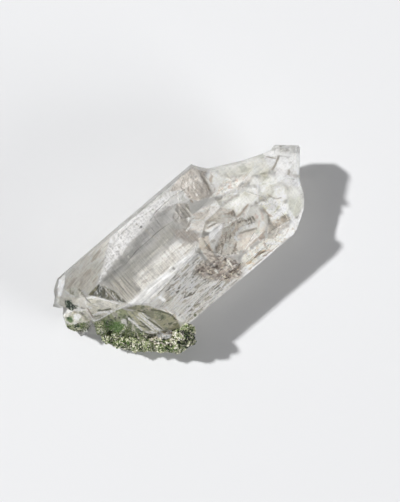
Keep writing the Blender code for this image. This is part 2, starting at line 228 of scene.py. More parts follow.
def eased(share):
    """The same share from 0 to 1, with a gentle start and end."""
    return share * share * (3.0 - 2.0 * share)


def blend(values, near, share, target):
    """Moves the values of those points towards a target, by each point's share."""
    if values.ndim > 1:
        share = share[:, None]
    values[near] += share * (target - values[near])


# Random values that are the same on every run

PRIMES = np.array((73856093, 19349663, 83492791))
SEED_PRIME = 6542989
MIXING_PRIME = 1274126177
SIXTEEN_BITS = 0xFFFF


def hashed(key, seed):
    """A random number from 0 to 1 for each row of whole numbers."""
    mixed = np.bitwise_xor.reduce(key * PRIMES, axis=1) ^ seed * SEED_PRIME
    mixed = (mixed ^ (mixed >> 13)) * MIXING_PRIME
    mixed = mixed ^ (mixed >> 16)
    return (mixed & SIXTEEN_BITS) / float(SIXTEEN_BITS)


def noise(points, size, seed):
    """Smooth random values from -1 to 1, with grains of that size, one number or one for each axis."""
    cell = points / np.asarray(size, dtype=float)
    base = np.floor(cell).astype(np.int64)
    part = eased(cell - base)
    total = np.zeros(len(points))
    for corner in np.ndindex(2, 2, 2):
        weight = np.ones(len(points))
        for axis in range(3):
            weight *= part[:, axis] if corner[axis] else 1.0 - part[:, axis]
        total += weight * (2.0 * hashed(base + np.array(corner), seed) - 1.0)
    return total


def turned(points, degrees):
    """The points with their plan turned, so that x runs along that direction."""
    angle = math.radians(degrees)
    along = points[:, 0] * math.cos(angle) + points[:, 1] * math.sin(angle)
    across = -points[:, 0] * math.sin(angle) + points[:, 1] * math.cos(angle)
    return np.stack((along, across, points[:, 2]), axis=1)


# Reliefs of a surface, from about -1 to 1. Lengths and widths count in spacings of the ridges or steps

COARSE_RIDGE = (16.0, 2.2)
FINE_RIDGE = (12.0, 1.0)
STEP_WAVE = (3.0, 2.0)
STEP_WAVE_DEPTH = 9.0
STEP_SWING = 0.35
STEP_SLANT = 0.6
STEP_RISE = 0.8
CHIP_RISE = 1.1
CHIP_TILT = 1.8


def ridges(points, degrees, spacing, seed):
    """Uneven ridges that run in one direction of the plan, as growth lines and striations do."""
    run = turned(points, degrees)
    run[:, 2] = 0.0
    coarse = noise(run, (COARSE_RIDGE[0] * spacing, COARSE_RIDGE[1] * spacing, 1.0), seed)
    fine = noise(run, (FINE_RIDGE[0] * spacing, FINE_RIDGE[1] * spacing, 1.0), seed + 1)
    return 0.5 * coarse + 0.5 * fine


def steps(points, degrees, spacing, seed):
    """A flight of slanted steps across one direction, each with its own height."""
    run = turned(points, degrees)
    wave = noise(run, (STEP_WAVE[0] * spacing, STEP_WAVE[1] * spacing, STEP_WAVE_DEPTH), seed)
    place = run[:, 1] / spacing + STEP_SWING * wave
    key = np.zeros((len(points), 3), dtype=np.int64)
    key[:, 0] = np.floor(place)
    return STEP_SLANT * (1.0 - 2.0 * (place - key[:, 0])) + STEP_RISE * (hashed(key, seed + 1) - 0.5)


def chips(points, degrees, length, width, seed):
    """Small flat chips, each a plane of its own height and tilt."""
    cell = turned(points, degrees)[:, :2] / (length, width)
    base = np.floor(cell).astype(np.int64)
    best = np.full(len(points), FAR)
    level = np.zeros(len(points))
    key = np.zeros((len(points), 3), dtype=np.int64)
    for neighbour in np.ndindex(3, 3):
        key[:, :2] = base + np.array(neighbour) - 1
        away = cell - (key[:, :2] + np.stack((hashed(key, seed), hashed(key, seed + 1)), axis=1))
        gap = np.linalg.norm(away, axis=1)
        plane = CHIP_RISE * (hashed(key, seed + 2) - 0.5)
        for axis in range(2):
            plane += (hashed(key, seed + 3 + axis) - 0.5) * away[:, axis] * CHIP_TILT
        closer = gap < best
        best = np.where(closer, gap, best)
        level = np.where(closer, plane, level)
    return level


RELIEFS = {"lines": ridges, "steps": steps, "chips": chips, "grain": noise}


def side_distance(flat, start, end):
    """How far each point lies from one straight side, seen from above."""
    edge = np.array((end[0] - start[0], end[1] - start[1]))
    away = flat - start
    share = np.clip(away @ edge / (edge @ edge), 0.0, 1.0)
    return np.linalg.norm(away - share[:, None] * edge, axis=1)


def depth_inside(points, outline):
    """How far each point lies inside an outline seen from above. Outside it is negative."""
    flat = points[:, :2]
    near = np.full(len(flat), FAR)
    odd = np.zeros(len(flat), dtype=bool)
    for start, end in zip(outline, outline[1:] + outline[:1]):
        near = np.minimum(near, side_distance(flat, start, end))
        crosses = (start[1] > flat[:, 1]) != (end[1] > flat[:, 1])
        rise = end[1] - start[1] if end[1] != start[1] else 1.0 / FAR
        odd ^= crosses & (flat[:, 0] < start[0] + (end[0] - start[0]) * (flat[:, 1] - start[1]) / rise)
    return np.where(odd, near, -near)


def distance_to(points, path):
    """How far each point lies from a line of corners, or from a single spot, seen from above."""
    flat = points[:, :2]
    if len(path) == 1:
        return np.linalg.norm(flat - path[0], axis=1)
    return np.min([side_distance(flat, start, end) for start, end in zip(path[:-1], path[1:])], axis=0)


# Mesh helpers

# How many times an edge may be halved
HALVINGS = 8
WELD = 1e-6
# Faces that meet at less than this count as one flat face, in degrees
FLAT_ANGLE = 1.0


def piece_from(node, name):
    """A loose copy of a CAD node's mesh, with its triangles joined at their corners."""
    bpy.ops.object.select_all(action="DESELECT")
    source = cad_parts[node]
    piece = bpy.data.objects.new(name, source.data.copy())
    bpy.context.scene.collection.objects.link(piece)
    piece.data.name = name
    bpy.context.view_layer.objects.active = piece
    piece.select_set(True)
    bpy.ops.object.mode_set(mode="EDIT")
    bpy.ops.mesh.select_all(action="SELECT")
    bpy.ops.mesh.remove_doubles(threshold=WELD)
    bpy.ops.mesh.beautify_fill(angle_limit=math.radians(FLAT_ANGLE))
    bpy.ops.object.mode_set(mode="OBJECT")
    return piece


def mesh_points(piece):
    """The piece's points and normals as arrays, with the points in part.py's millimetres."""
    mesh = piece.data
    places = np.empty(3 * len(mesh.vertices), dtype=np.float64)
    mesh.vertices.foreach_get("co", places)
    normals = np.empty(3 * len(mesh.vertices), dtype=np.float64)
    mesh.vertex_normals.foreach_get("vector", normals)
    return places.reshape(-1, 3) / MM + CENTRE, normals.reshape(-1, 3)


def move_points(piece, places):
    piece.data.vertices.foreach_set("co", in_metres(places).astype(np.float32).ravel())
    piece.data.update()


def corners_of(piece):
    """The piece's triangles, as the numbers of their three points."""
    corners = np.empty(3 * len(piece.data.polygons), dtype=np.int64)
    piece.data.polygons.foreach_get("vertices", corners)
    return corners.reshape(-1, 3)


def stacked(triangles, wanted):
    """Those of the triangles that are wanted, each kind given as its three corners."""
    return [np.stack(corners, 1)[wanted] for corners in triangles]


def halved(faces, middles):
    """The triangles that take the place of others whose sides have a new point in the middle, or don't."""
    parts = [faces[(middles < 0).all(axis=1)]]
    for turn in range(3):
        a, b, c = np.roll(faces, -turn, axis=1).T
        ab, bc, ca = np.roll(middles, -turn, axis=1).T
        parts += stacked(((a, ab, c), (ab, b, c)), (ab >= 0) & (bc < 0) & (ca < 0))
        parts += stacked(((ab, b, bc), (a, ab, bc), (a, bc, c)), (ab >= 0) & (bc >= 0) & (ca < 0))
    a, b, c = faces.T
    ab, bc, ca = middles.T
    parts += stacked(((a, ab, ca), (ab, b, bc), (ca, bc, c), (ab, bc, ca)), (middles >= 0).all(axis=1))
    return np.concatenate(parts)


def refine(piece, limit_of):
    """Halves the long edges, over and over, until none passes its limit. Faces stay flat and closed."""
    places, _ = mesh_points(piece)
    faces = corners_of(piece)
    for _ in range(HALVINGS):
        sides = np.sort(faces[:, ((0, 1), (1, 2), (2, 0))].reshape(-1, 2), axis=1)
        ends, number = np.unique(sides, axis=0, return_inverse=True)
        limit = np.full(len(ends), FAR)
        np.minimum.at(limit, number.ravel(), np.repeat(limit_of(places[faces]), 3))
        long_ones = np.linalg.norm(places[ends[:, 0]] - places[ends[:, 1]], axis=1) > limit
        if not long_ones.any():
            break
        middle = np.full(len(ends), -1)
        middle[long_ones] = len(places) + np.arange(long_ones.sum())
        places = np.concatenate((places, places[ends[long_ones]].mean(axis=1)))
        faces = halved(faces, middle[number.ravel()].reshape(-1, 3))
    piece.data.clear_geometry()
    piece.data.from_pydata(in_metres(places).tolist(), [], faces.tolist())


def facing_of(corners):
    """Which way each triangle faces, by its three corners, and how large it is."""
    across = np.cross(corners[:, 1] - corners[:, 0], corners[:, 2] - corners[:, 0])
    size = np.linalg.norm(across, axis=1)
    return across / np.maximum(size, TINY)[:, None], 0.5 * size


def write_tint(mesh, values):
    """Writes the colour of each point to the corners of its faces."""
    colours = np.ones((len(values), 4))
    colours[:, :3] = np.clip(values, 0.0, 1.0)
    points = np.empty(len(mesh.loops), dtype=np.int64)
    mesh.loops.foreach_get("vertex_index", points)
    layer = mesh.attributes.new("tint", "BYTE_COLOR", "CORNER")
    layer.data.foreach_set("color", colours[points].ravel())


def write_number(mesh, name, values):
    layer = mesh.attributes.new(name, "FLOAT", "POINT")
    layer.data.foreach_set("value", np.clip(values, 0.0, 1.0))


def finish_piece(piece, material, node, smooth):
    """Shades the piece with its material and smooth faces, says what it rides on, and hides the CAD node it
    stands for.
    """
    piece.data.materials.clear()
    piece.data.materials.append(material)
    bpy.ops.object.select_all(action="DESELECT")
    bpy.context.view_layer.objects.active = piece
    piece.select_set(True)
    bpy.ops.object.shade_smooth_by_angle(angle=math.radians(smooth))
    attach(piece, "root")
    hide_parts(node)


# The crystal's surface, patch by patch

# How strong the fine lines across and along the crystal are, and its grain, where a patch doesn't say
PLAIN_TEXTURE = (0.15, 0.15, 0.2)


def patch(name, outline, tint, frost, haze, soft, relief, contrast, *flecks, sink=0.0, texture=PLAIN_TEXTURE):
    """A patch of the crystal's upper surface, inside an outline seen from above.

    Frost is the share that shows as white powder instead of clear quartz, and haze is how rough the clear
    part is. Soft is the width of its border. A relief is its kind, its numbers and its height: lines or steps
    (direction, spacing), chips (direction, length, width) or grain (size). Contrast is how much the relief
    shows as light and dark. Flecks are (direction, length, width, share, colour). Sink is how far the patch
    lies under the facet around it, and texture is as in PLAIN_TEXTURE.
    """
    return {
        "name": name, "outline": outline, "tint": tint, "frost": frost, "haze": haze, "soft": soft,
        "relief": relief, "contrast": contrast, "flecks": flecks, "sink": sink, "texture": texture,
    }


PATCHES = (
    # The left side window and the crystal's left end
    patch("side_window", ((-8.4, 13.6), (-11.2, 13.3), (-14.8, 11), (-16.8, 9.2), (-19.2, 7.8),
        (-21.9, 6.3), (-24.8, 5.9), (-25.1, 8.1), (-26.6, 9.8), (-28.6, 10.6), (-25.6, 13.7), (-22.9, 13.9),
        (-18.4, 14.2), (-14.1, 14.2), (-10.5, 14.1)), (255, 249, 238), 0.26, 0.4, 0.4, ("grain", 5, 0.06),
        0.04, (10, 5, 0.7, 0.14, (212, 203, 190)), (4, 4, 0.6, 0.12, (236, 230, 220)),
        texture=(0.15, 0.4, 0.2)),
    patch("end_side", ((-32.3, 10.5), (-31.3, 10.8), (-30.3, 10.2), (-28.8, 10.8), (-26.6, 9.8),
        (-25.1, 8.1), (-26.9, 6.4), (-30.2, 5.4), (-31.9, 7.8)), (255, 250, 234), 0.26, 0.4, 0.4,
        ("chips", 20, 3, 2, 0.12), 0.06, (60, 2, 0.7, 0.16, (176, 174, 154)),
        (20, 1.6, 0.6, 0.12, (236, 232, 222)), texture=(0.1, 0.3, 0.4)),
    patch("end_sliver", ((-28.3, 13.6), (-25.9, 13.7), (-27.8, 11.8), (-30.3, 10.2), (-31.3, 10.8)),
        (255, 254, 250), 0.62, 0.4, 0.3, ("chips", 0, 1.6, 1.2, 0.08), 0.08),
    patch("lump_top", ((-30.5, 9.4), (-27.8, 7.6), (-27.2, 6.1), (-29.4, 5.2), (-31.5, 6.5)),
        (220, 215, 201), 0.3, 0.35, 0.4, ("chips", 10, 2, 1.4, 0.14), 0.08),
    patch("root_gap", ((-25.8, 7.7), (-25.9, 5.5), (-28.3, 0.5), (-29.1, 1.2), (-28.8, 4.2), (-27.7, 6.1)),
        (240, 234, 224), 0.45, 0.35, 0.25, ("chips", -60, 2.4, 0.8, 0.16), 0.12,
        (-60, 1.6, 0.4, 0.14, (150, 146, 134)), (-60, 1.8, 0.4, 0.14, (240, 238, 232)), sink=0.05),
    patch("left_lump", ((-33.2, 6.5), (-30.3, 5.2), (-27.9, 3.7), (-29, 0.7), (-30.1, -0.1), (-32.7, 0.7),
        (-34.4, 2.6), (-34.1, 4.9)), (244, 240, 224), 0.55, 0.35, 0.3, ("chips", 30, 1.6, 1.2, 0.2), 0.12,
        (30, 0.9, 0.7, 0.16, (176, 182, 152)), (30, 0.9, 0.6, 0.1, (244, 242, 234)), texture=(0.1, 0.1, 0.6)),
    patch("lump_moss", ((-33.8, 5.9), (-34, 4.1), (-32.8, 2.4), (-30.3, 1.5), (-29.6, -0.1), (-31.4, -0.2),
        (-34.4, 2.1), (-34.8, 3.1)), (186, 188, 160), 0.5, 0.4, 0.5, ("chips", 10, 1, 0.8, 0.2), 0.16,
        (0, 0.8, 0.6, 0.24, (104, 124, 74)), (50, 0.9, 0.5, 0.16, (236, 228, 216)),
        (20, 0.6, 0.5, 0.06, (22, 28, 18)), texture=(0.1, 0.1, 0.9)),
    patch("white_facet", ((-31.2, 4.6), (-29.8, 4), (-29.9, 3.1), (-30.9, 2.7), (-31.6, 3), (-31.5, 3.9)),
        (250, 251, 246), 0.92, 0.4, 0.2, ("grain", 1.5, 0.02), 0.02),
    patch("green_speck", ((-32.9, 5.4), (-31.9, 4.6), (-32.2, 3.5), (-33.1, 3.6), (-33.5, 4.6)),
        (118, 140, 98), 0.6, 0.4, 0.5, ("grain", 0.8, 0.08), 0.2, (0, 0.8, 0.6, 0.3, (70, 96, 66))),
    patch("black_speck", ((-32.8, 2.4), (-31.7, 2.1), (-32, 1.4), (-32.8, 2)), (22, 32, 14), 0.95, 0.4, 0.2,
        ("grain", 0.8, 0.05), 0.1, sink=0.05),
    patch("dark_cluster", ((-30.3, 8.8), (-29, 7.6), (-29.3, 6.9), (-28.8, 5.5), (-29.3, 5), (-31.3, 5.7),
        (-31.2, 6.6), (-31.1, 7.5)), (58, 72, 54), 0.85, 0.3, 0.6, ("grain", 0.9, 0.08), 0.25,
        (0, 0.8, 0.7, 0.34, (26, 42, 30)), (30, 0.8, 0.5, 0.14, (176, 178, 160))),
    patch("white_sliver", ((-26.3, 7.3), (-25.9, 6.3), (-27.2, 5.1), (-28.9, 4.6), (-27.8, 6)),
        (224, 220, 210), 0.6, 0.35, 0.25, ("grain", 1.4, 0.04), 0.05),

    # The pale facet between the two root domes
    patch("pale_facet", ((-25.1, 5.5), (-23.5, 4.4), (-21.9, 1.8), (-19, -1.8), (-21, -1.5), (-24.3, -1),
        (-28.4, 0.3), (-27.3, 3.8)), (224, 220, 204), 0.45, 0.35, 0.3, ("chips", -35, 2.4, 0.7, 0.14), 0.12,
        (-30, 1.8, 0.5, 0.18, (168, 168, 146)), (-40, 1.6, 0.4, 0.18, (242, 241, 236)),
        texture=(0.1, 0.2, 0.7)),
    patch("base_white", ((-23.7, 4.2), (-21.6, 1.7), (-19.6, -1.4), (-19.2, -2), (-23.2, -0.9),
        (-24.2, 0.9), (-24.9, 3.2)), (228, 225, 214), 0.55, 0.35, 0.6, ("chips", -35, 1.2, 0.8, 0.08), 0.1,
        (-30, 1, 0.5, 0.16, (184, 182, 166)), texture=(0.1, 0.1, 0.8)),

    # The main face: a frosted strip with painted glare, then grey and grey-green bands of painted reflection
    # and a pale band of painted highlight along the crystal
    # Painted glare of the light on a finely frosted strip: real frost, with the glare painted in as
    # near-white tint
    patch("glare_band", ((-4.5, 13.4), (-8.4, 13.6), (-11.2, 13.3), (-14.8, 11), (-16.8, 9.2), (-19.2, 7.8),
        (-21.5, 6.4), (-20.1, 6.2), (-16.7, 6.8), (-13.1, 7.7), (-8.6, 8.6), (-3.4, 9.3), (1.9, 9.9),
        (4.6, 9.5), (7.2, 8.7), (9.4, 8.2), (10.3, 9.3), (8.6, 11.2), (6.5, 12.1), (3.2, 12.6), (-1.1, 13)),
        (226, 225, 224), 0.68, 0.5, 0.8, ("grain", 0.6, 0.02), 0.03, (90, 1, 0.4, 0.16, (204, 202, 199)),
        (35, 1.6, 0.6, 0.12, (226, 225, 223)), texture=(0.3, 0.2, 0.7)),
    patch("dot_strip", ((-7.7, 14.1), (-4, 14), (0.5, 13.7), (4.5, 13.6), (6.5, 13.1), (6.5, 12.1),
        (3.2, 12.6), (-1.1, 13), (-4.5, 13.4), (-7.7, 13.5)), (200, 199, 194), 0.4, 0.4, 0.4,
        ("grain", 0.6, 0.04), 0.08, (0, 0.9, 0.6, 0.22, (164, 164, 152)),
        (0, 0.8, 0.5, 0.14, (224, 224, 220)), texture=(0.5, 0.4, 0.5)),
    # Painted reflection: a grey band where the face mirrors darker surroundings
    patch("reflection_grey_band", ((-20.1, 6.2), (-16.7, 6.8), (-13.1, 7.7), (-8.6, 8.6), (-3.4, 9.3), (1.9, 9.9),
        (4.6, 9.5), (3.1, 8), (0.2, 6.2), (-4.3, 4.9), (-7.8, 5.1), (-11.6, 5.1), (-15.7, 4.7),
        (-18.5, 4.8)), (154, 152, 148), 0.18, 0.45, 2.4, ("lines", 0, 1.4, 0.01), 0.02,
        (0, 5, 0.7, 0.14, (192, 190, 186)), texture=(0.6, 0.35, 0.2)),
    # Painted reflection: the paler grey-green end of the grey reflection, towards the highlight band
    patch("reflection_mid_band", ((-18.5, 4.8), (-15.7, 4.7), (-11.6, 5.1), (-7.8, 5.1), (-4.3, 4.9), (0.2, 6.2),
        (2.5, 5.7), (3.5, 3), (1.5, 2.8), (-2.8, 2.2), (-7.8, 1.8), (-11.6, 1.8), (-15.1, 1), (-17.8, 0),
        (-18.5, 1.5)), (182, 179, 168), 0.24, 0.45, 2.4, ("lines", 0, 1.2, 0.01), 0.02,
        (0, 5, 0.6, 0.14, (210, 207, 198)), texture=(0.55, 0.4, 0.2)),
    # Painted highlight: a pale beige band of glare beside the ridge
    patch("highlight_band", ((-17.8, 0), (-15.1, 1), (-11.6, 1.8), (-7.8, 1.8), (-2.8, 2.2), (0.5, 1.7),
        (3.6, -1.3), (4.4, -2.5), (-1.2, -2.5), (-10.3, -2.2), (-18.4, -2.1)), (250, 245, 236), 0.55, 0.5,
        2, ("lines", 0, 1.2, 0.01), 0.02, (0, 4, 0.8, 0.16, (238, 235, 227)),
        (0, 3, 0.6, 0.1, (214, 206, 196)), texture=(0.45, 0.4, 0.3)),
    patch("base_lines", ((-19.4, 4.4), (-16.5, 4.5), (-14.2, 2), (-13.8, -1.9), (-18.6, -2.1),
        (-19.3, 0.6)), (208, 203, 190), 0.3, 0.4, 1.6, ("lines", 88, 0.9, 0.02), 0.05,
        (88, 3.5, 0.45, 0.16, (228, 224, 216)), (88, 3.5, 0.4, 0.12, (180, 172, 160)),
        texture=(0.9, 0.2, 0.2)),
    patch("brown_patch", ((1.6, 4.6), (4.6, 2), (5.9, -0.3), (4.6, -2.3), (2.5, -0.4), (1, 2.3)),
        (172, 158, 144), 0.2, 0.4, 1, ("lines", 0, 1, 0.01), 0.03, (0, 1.6, 0.4, 0.12, (204, 194, 184)),
        texture=(0.5, 0.3, 0.3)),
    patch("moss_triangle", ((-25, 6), (-20.9, 6.3), (-19.8, 4.1), (-19, 1.4), (-18.7, -0.5), (-18.6, -1.9),
        (-21.9, 1.6), (-23.6, 4.5)), (80, 78, 58), 0.85, 0.3, 0.4, ("grain", 0.9, 0.03), 0.12,
        (-35, 1.1, 0.6, 0.34, (46, 48, 30)), (-20, 0.9, 0.5, 0.1, (122, 118, 96)), texture=(0.3, 0.1, 0.8)),

    # The ridge, with painted glare and the painted shade where it fades, and the right face
    # Painted glare: the light's bluish-white reflection along the ridge
    patch("ridge_glare", ((-18.4, -2.1), (-10.3, -2.2), (-1.2, -2.5), (4.4, -2.5), (3.3, -3), (0.9, -3.3),
        (-5.6, -3.8), (-11.7, -3.8), (-16.6, -4.1), (-18.5, -2.9)), (240, 239, 236), 0.76, 0.5, 0.7,
        ("lines", 0, 1.4, 0.02), 0.02, (0, 2.6, 0.6, 0.12, (214, 213, 211)), texture=(0.1, 0.6, 0.15)),
    # Painted shade where the ridge's glare fades out
    patch("ridge_glare_fade", ((-16.6, -4.1), (-11.7, -3.8), (-5.6, -3.8), (0.9, -3.3), (3.1, -3.3), (2.3, -4.5),
        (-2.6, -4.1), (-7.6, -4.5), (-11.1, -4.8), (-14.9, -5.3)), (219, 218, 217), 0.5, 0.45, 0.9,
        ("lines", 0, 1, 0.03), 0.04, (0, 2.6, 0.5, 0.18, (192, 191, 190)),
        (0, 2, 0.5, 0.1, (238, 237, 236)), texture=(0.2, 0.9, 0.2)),
    patch("flecked_face", ((-15, -5.5), (-11.1, -4.8), (-7.6, -4.5), (-2.6, -4.1), (0.6, -4.5), (2.4, -4.6),
        (2.6, -7), (4, -14.2), (8.4, -15.4), (-3.2, -15.8), (-8, -15.9), (-10.3, -15.9), (-11.3, -12.1),
        (-12.3, -8.9)), (252, 248, 241), 0.44, 0.4, 0.8, ("chips", 3, 3.4, 0.8, 0.06), 0.06,
        (4, 2.2, 0.4, 0.26, (255, 254, 250)), (2, 1.6, 0.36, 0.18, (184, 177, 164)),
        (0, 1.1, 0.35, 0.07, (112, 106, 94)), texture=(0.15, 0.9, 0.6)),
    patch("smooth_corner", ((-15, -5.5), (-12, -4.9), (-9.5, -6.5), (-8.6, -10), (-9.6, -14.5),
        (-11.3, -12.1), (-12.3, -8.9)), (255, 250, 240), 0.45, 0.5, 1.4, ("grain", 2, 0.03), 0.03,
        (0, 2.6, 0.5, 0.1, (220, 214, 202)), (0, 2, 0.5, 0.08, (255, 252, 244)), texture=(0.1, 0.5, 0.3)),
    patch("brown_zone", ((0, -6.4), (2.6, -6.6), (5.8, -7), (7.4, -8.9), (9, -12.6), (7.9, -14.9),
        (6.4, -15.1), (3.4, -13.8), (0.7, -11.2), (-1.1, -7.5)), (184, 170, 158), 0.42, 0.35, 1.2,
        ("chips", -55, 2.2, 1, 0.12), 0.08, (-60, 1.4, 0.4, 0.24, (128, 112, 100)),
        (-62, 1.8, 0.35, 0.14, (255, 244, 224)), (5, 1, 0.35, 0.14, (240, 232, 222)),
        (-50, 0.9, 0.4, 0.1, (84, 72, 62)), texture=(0.3, 0.3, 0.9)),
    patch("brown_flakes", ((11, -3), (16.1, -1.2), (15.4, -4.5), (13, -7.1), (10.4, -10.9), (7.4, -8.9),
        (5.8, -7), (8.9, -4.5)), (252, 243, 233), 0.46, 0.35, 0.4, ("chips", 60, 2.2, 1.1, 0.16), 0.08,
        (40, 1.6, 0.45, 0.16, (176, 164, 152)), (-50, 1.4, 0.4, 0.12, (244, 238, 228)),
        texture=(0.3, 0.2, 0.7)),

    # The broken end: smoky panes and chips below, milky planes above
    patch("golden_steps", ((10.7, -11.7), (14.3, -11.9), (17.8, -12.1), (20.4, -12.4), (21.8, -14.1),
        (22.4, -15.6), (18.3, -15.4), (14.5, -14.9), (10.5, -15.2), (8.4, -14.9), (9, -12.6)),
        (255, 252, 240), 0.75, 0.4, 0.4, ("steps", -48, 1.9, 0.12), 0.1,
        (-48, 1.8, 0.45, 0.1, (232, 214, 190)), (20, 1.4, 0.5, 0.08, (222, 212, 198)),
        texture=(0.2, 0.3, 0.5)),
    patch("pink_sheet", ((13.4, -8.4), (16.4, -8.6), (18.2, -8.8), (20, -9.6), (18.6, -10.6), (15.4, -10.7),
        (12.2, -11), (10.6, -9.6), (11.9, -8)), (255, 246, 236), 0.75, 0.4, 0.4, ("lines", 60, 0.9, 0.04),
        0.06, (0, 2, 0.4, 0.12, (216, 204, 194))),
    patch("brown_triangle", ((16.3, -10.6), (18.6, -10.6), (17, -11.6), (16.3, -11.7)), (188, 174, 165),
        0.5, 0.3, 0.25, ("grain", 0.8, 0.03), 0.06, sink=0.05),
    patch("pale_block", ((7.7, -2), (10.9, -2.4), (8.9, -4.5), (5.7, -6), (6.2, -4)), (255, 255, 252), 0.7,
        0.45, 0.25, ("lines", -35, 1.4, 0.03), 0.03, (-35, 2, 0.5, 0.12, (226, 224, 220)), sink=-0.1),
    patch("white_blade", ((11.1, -1.9), (11.9, -2.3), (10.7, -3.6), (9, -4.7), (10, -2.9)), (255, 255, 252),
        0.92, 0.4, 0.25, ("grain", 1.4, 0.02), 0.02, sink=-0.12),
    patch("warm_chip", ((5.1, -1.2), (7.4, -2.3), (6.2, -4), (5.6, -6.4), (4.8, -8.1), (3.3, -7.7),
        (3.6, -4.6), (3.8, -3)), (250, 238, 224), 0.5, 0.35, 0.25, ("lines", -70, 0.9, 0.05), 0.06,
        (-60, 1.6, 0.4, 0.14, (190, 176, 162)), sink=0.05),
    patch("upper_brown", ((15.5, 13.8), (18.4, 10.6), (16.4, 9.8), (15.6, 6.7), (14.2, 4.6), (10.8, 6.1),
        (9.7, 8), (9.5, 10), (6.5, 12.1), (10.5, 13.4)), (214, 205, 194), 0.32, 0.35, 0.6,
        ("chips", 80, 3.2, 1.6, 0.1), 0.05, (50, 1.8, 0.45, 0.14, (182, 173, 162)),
        (40, 1.6, 0.4, 0.12, (228, 222, 213)), texture=(0.4, 0.2, 0.45)),
    patch("brown_right", ((18.1, 9.7), (20.2, 6), (23.5, 3.3), (19, 4.7), (15.2, 5.1), (15.9, 8.8)),
        (255, 252, 244), 0.75, 0.4, 1.4, ("lines", 20, 1.6, 0.04), 0.03,
        (50, 1.6, 0.5, 0.12, (216, 208, 198))),
    patch("glow", ((14.2, 4.6), (15.2, 5.1), (19, 4.7), (24.2, 3.1), (23.5, 2.3), (20.5, 2), (15.9, 3.2)),
        (255, 253, 246), 0.96, 0.45, 1.4, ("grain", 0.9, 0.03), 0.03, (20, 1.2, 0.5, 0.14, (230, 216, 206)),
        texture=(0.1, 0.2, 0.5)),
    patch("pink_patch", ((23.3, 3.8), (24.9, 3.4), (25.5, 2.9), (23.9, 1), (22.5, 2.1)), (255, 246, 239),
        0.7, 0.4, 0.6, ("grain", 1.2, 0.02), 0.02),
    patch("grey_streak", ((15.4, 3.1), (20.4, 1.9), (23.3, 2), (24.9, 1.6), (22.6, 0.7), (19.4, 0.7),
        (14.5, 1), (12.1, 3.1)), (255, 252, 242), 0.6, 0.4, 1, ("chips", 10, 2, 0.8, 0.08), 0.06,
        (10, 1.6, 0.4, 0.14, (210, 202, 192)), (0, 1.4, 0.4, 0.1, (255, 250, 244)), texture=(0.1, 0.3, 0.5)),
    patch("dark_panes", ((6.6, 8.8), (8.7, 6.9), (7.4, 4.3), (4.8, 1.8), (3.7, 3.2), (3.4, 6.8)),
        (199, 193, 184), 0.28, 0.35, 0.35, ("chips", 80, 2.2, 0.9, 0.1), 0.08,
        (85, 1.8, 0.4, 0.12, (168, 162, 150)), (85, 1.8, 0.4, 0.14, (228, 222, 213)),
        texture=(0.5, 0.3, 0.3)),
    patch("pale_panes", ((6.5, 12.6), (8.9, 11.2), (10, 10.1), (8.9, 7.7), (6.6, 8.8), (5.2, 10.4)),
        (218, 217, 215), 0.6, 0.45, 0.3, ("chips", 60, 2, 1.6, 0.06), 0.04,
        (50, 1.2, 0.4, 0.12, (190, 190, 183))),
    patch("striped_plane", ((7.4, 4.3), (11.3, 3.8), (14.8, 0.8), (15.4, -1.2), (12.5, -1.9), (9, -0.4),
        (6.5, -0.6), (5.1, 1.6), (5.3, 2.3)), (243, 236, 227), 0.5, 0.4, 0.6, ("lines", -40, 0.8, 0.04),
        0.06, (-40, 2.6, 0.4, 0.14, (220, 210, 199)), (-40, 2.6, 0.4, 0.14, (255, 253, 247)),
        texture=(0.3, 0.3, 0.4)),
    patch("bright_plane", ((14.8, 0.8), (19.4, 0.7), (22.6, 0.7), (24.5, -1), (22.5, -3.9), (19.4, -2.6),
        (15.5, -4.1), (16.1, -1.2)), (253, 253, 245), 0.96, 0.5, 1.2, ("grain", 1.2, 0.03), 0.02,
        (20, 1.4, 0.5, 0.1, (240, 240, 230))),
    patch("milky_edge", ((18.6, 10.2), (25.4, 6.7), (29.1, 5.5), (33.2, 3.6), (31.3, 0.3), (27.3, 0),
        (24.2, 3.1), (20.7, 5.6), (18.4, 9.5)), (236, 235, 226), 0.72, 0.5, 1.4, ("grain", 2.2, 0.04), 0.02,
        (-30, 2.4, 0.8, 0.16, (210, 210, 200)), (-30, 1.8, 0.6, 0.1, (230, 230, 224))),
    patch("milky_middle", ((25.1, 1.9), (27.3, 0), (29.7, -1.6), (29.4, -5.1), (26.1, -4.6), (23.2, -3.6),
        (24.5, -1), (22.6, 0.7)), (253, 252, 243), 0.82, 0.5, 1.6, ("lines", -50, 1.2, 0.03), 0.02,
        (-50, 1.8, 0.6, 0.14, (226, 226, 214))),
    patch("bump_zone", ((25.2, -2.4), (28.3, -3.2), (30, -5.6), (28.9, -8), (25.9, -8.2), (24.4, -5)),
        (255, 254, 245), 0.86, 0.5, 1.4, ("grain", 2, 0.08), 0.03),
    patch("bump_dome", ((27.1, -2.1), (28.7, -2.5), (29.6, -4.2), (29.2, -5.9), (27.7, -6.9), (25.9, -6.2),
        (25.2, -4.4), (25.6, -2.8)), (253, 252, 243), 0.84, 0.5, 1.2, ("grain", 1.6, 0.05), 0.03, sink=-0.12),
    patch("fan_facet", ((23.3, -4.6), (25.9, -5.9), (27.7, -9.3), (26.3, -10.9), (23.6, -11.4),
        (21.7, -9.8), (21.9, -6.2), (21.8, -4.2)), (255, 255, 250), 0.97, 0.5, 0.8,
        ("lines", 15, 0.8, 0.06), 0.05, (15, 1.8, 0.45, 0.18, (232, 231, 217)), texture=(0.1, 0.2, 0.5)),
    patch("smooth_mid", ((19.4, -2.6), (21.6, -5), (21.5, -7.8), (19.7, -10), (17.6, -9.1), (16.8, -5.6),
        (16.2, -4.1)), (255, 252, 244), 0.7, 0.5, 1.4, ("grain", 2.5, 0.05), 0.02,
        (40, 1.8, 0.8, 0.14, (240, 228, 220))),
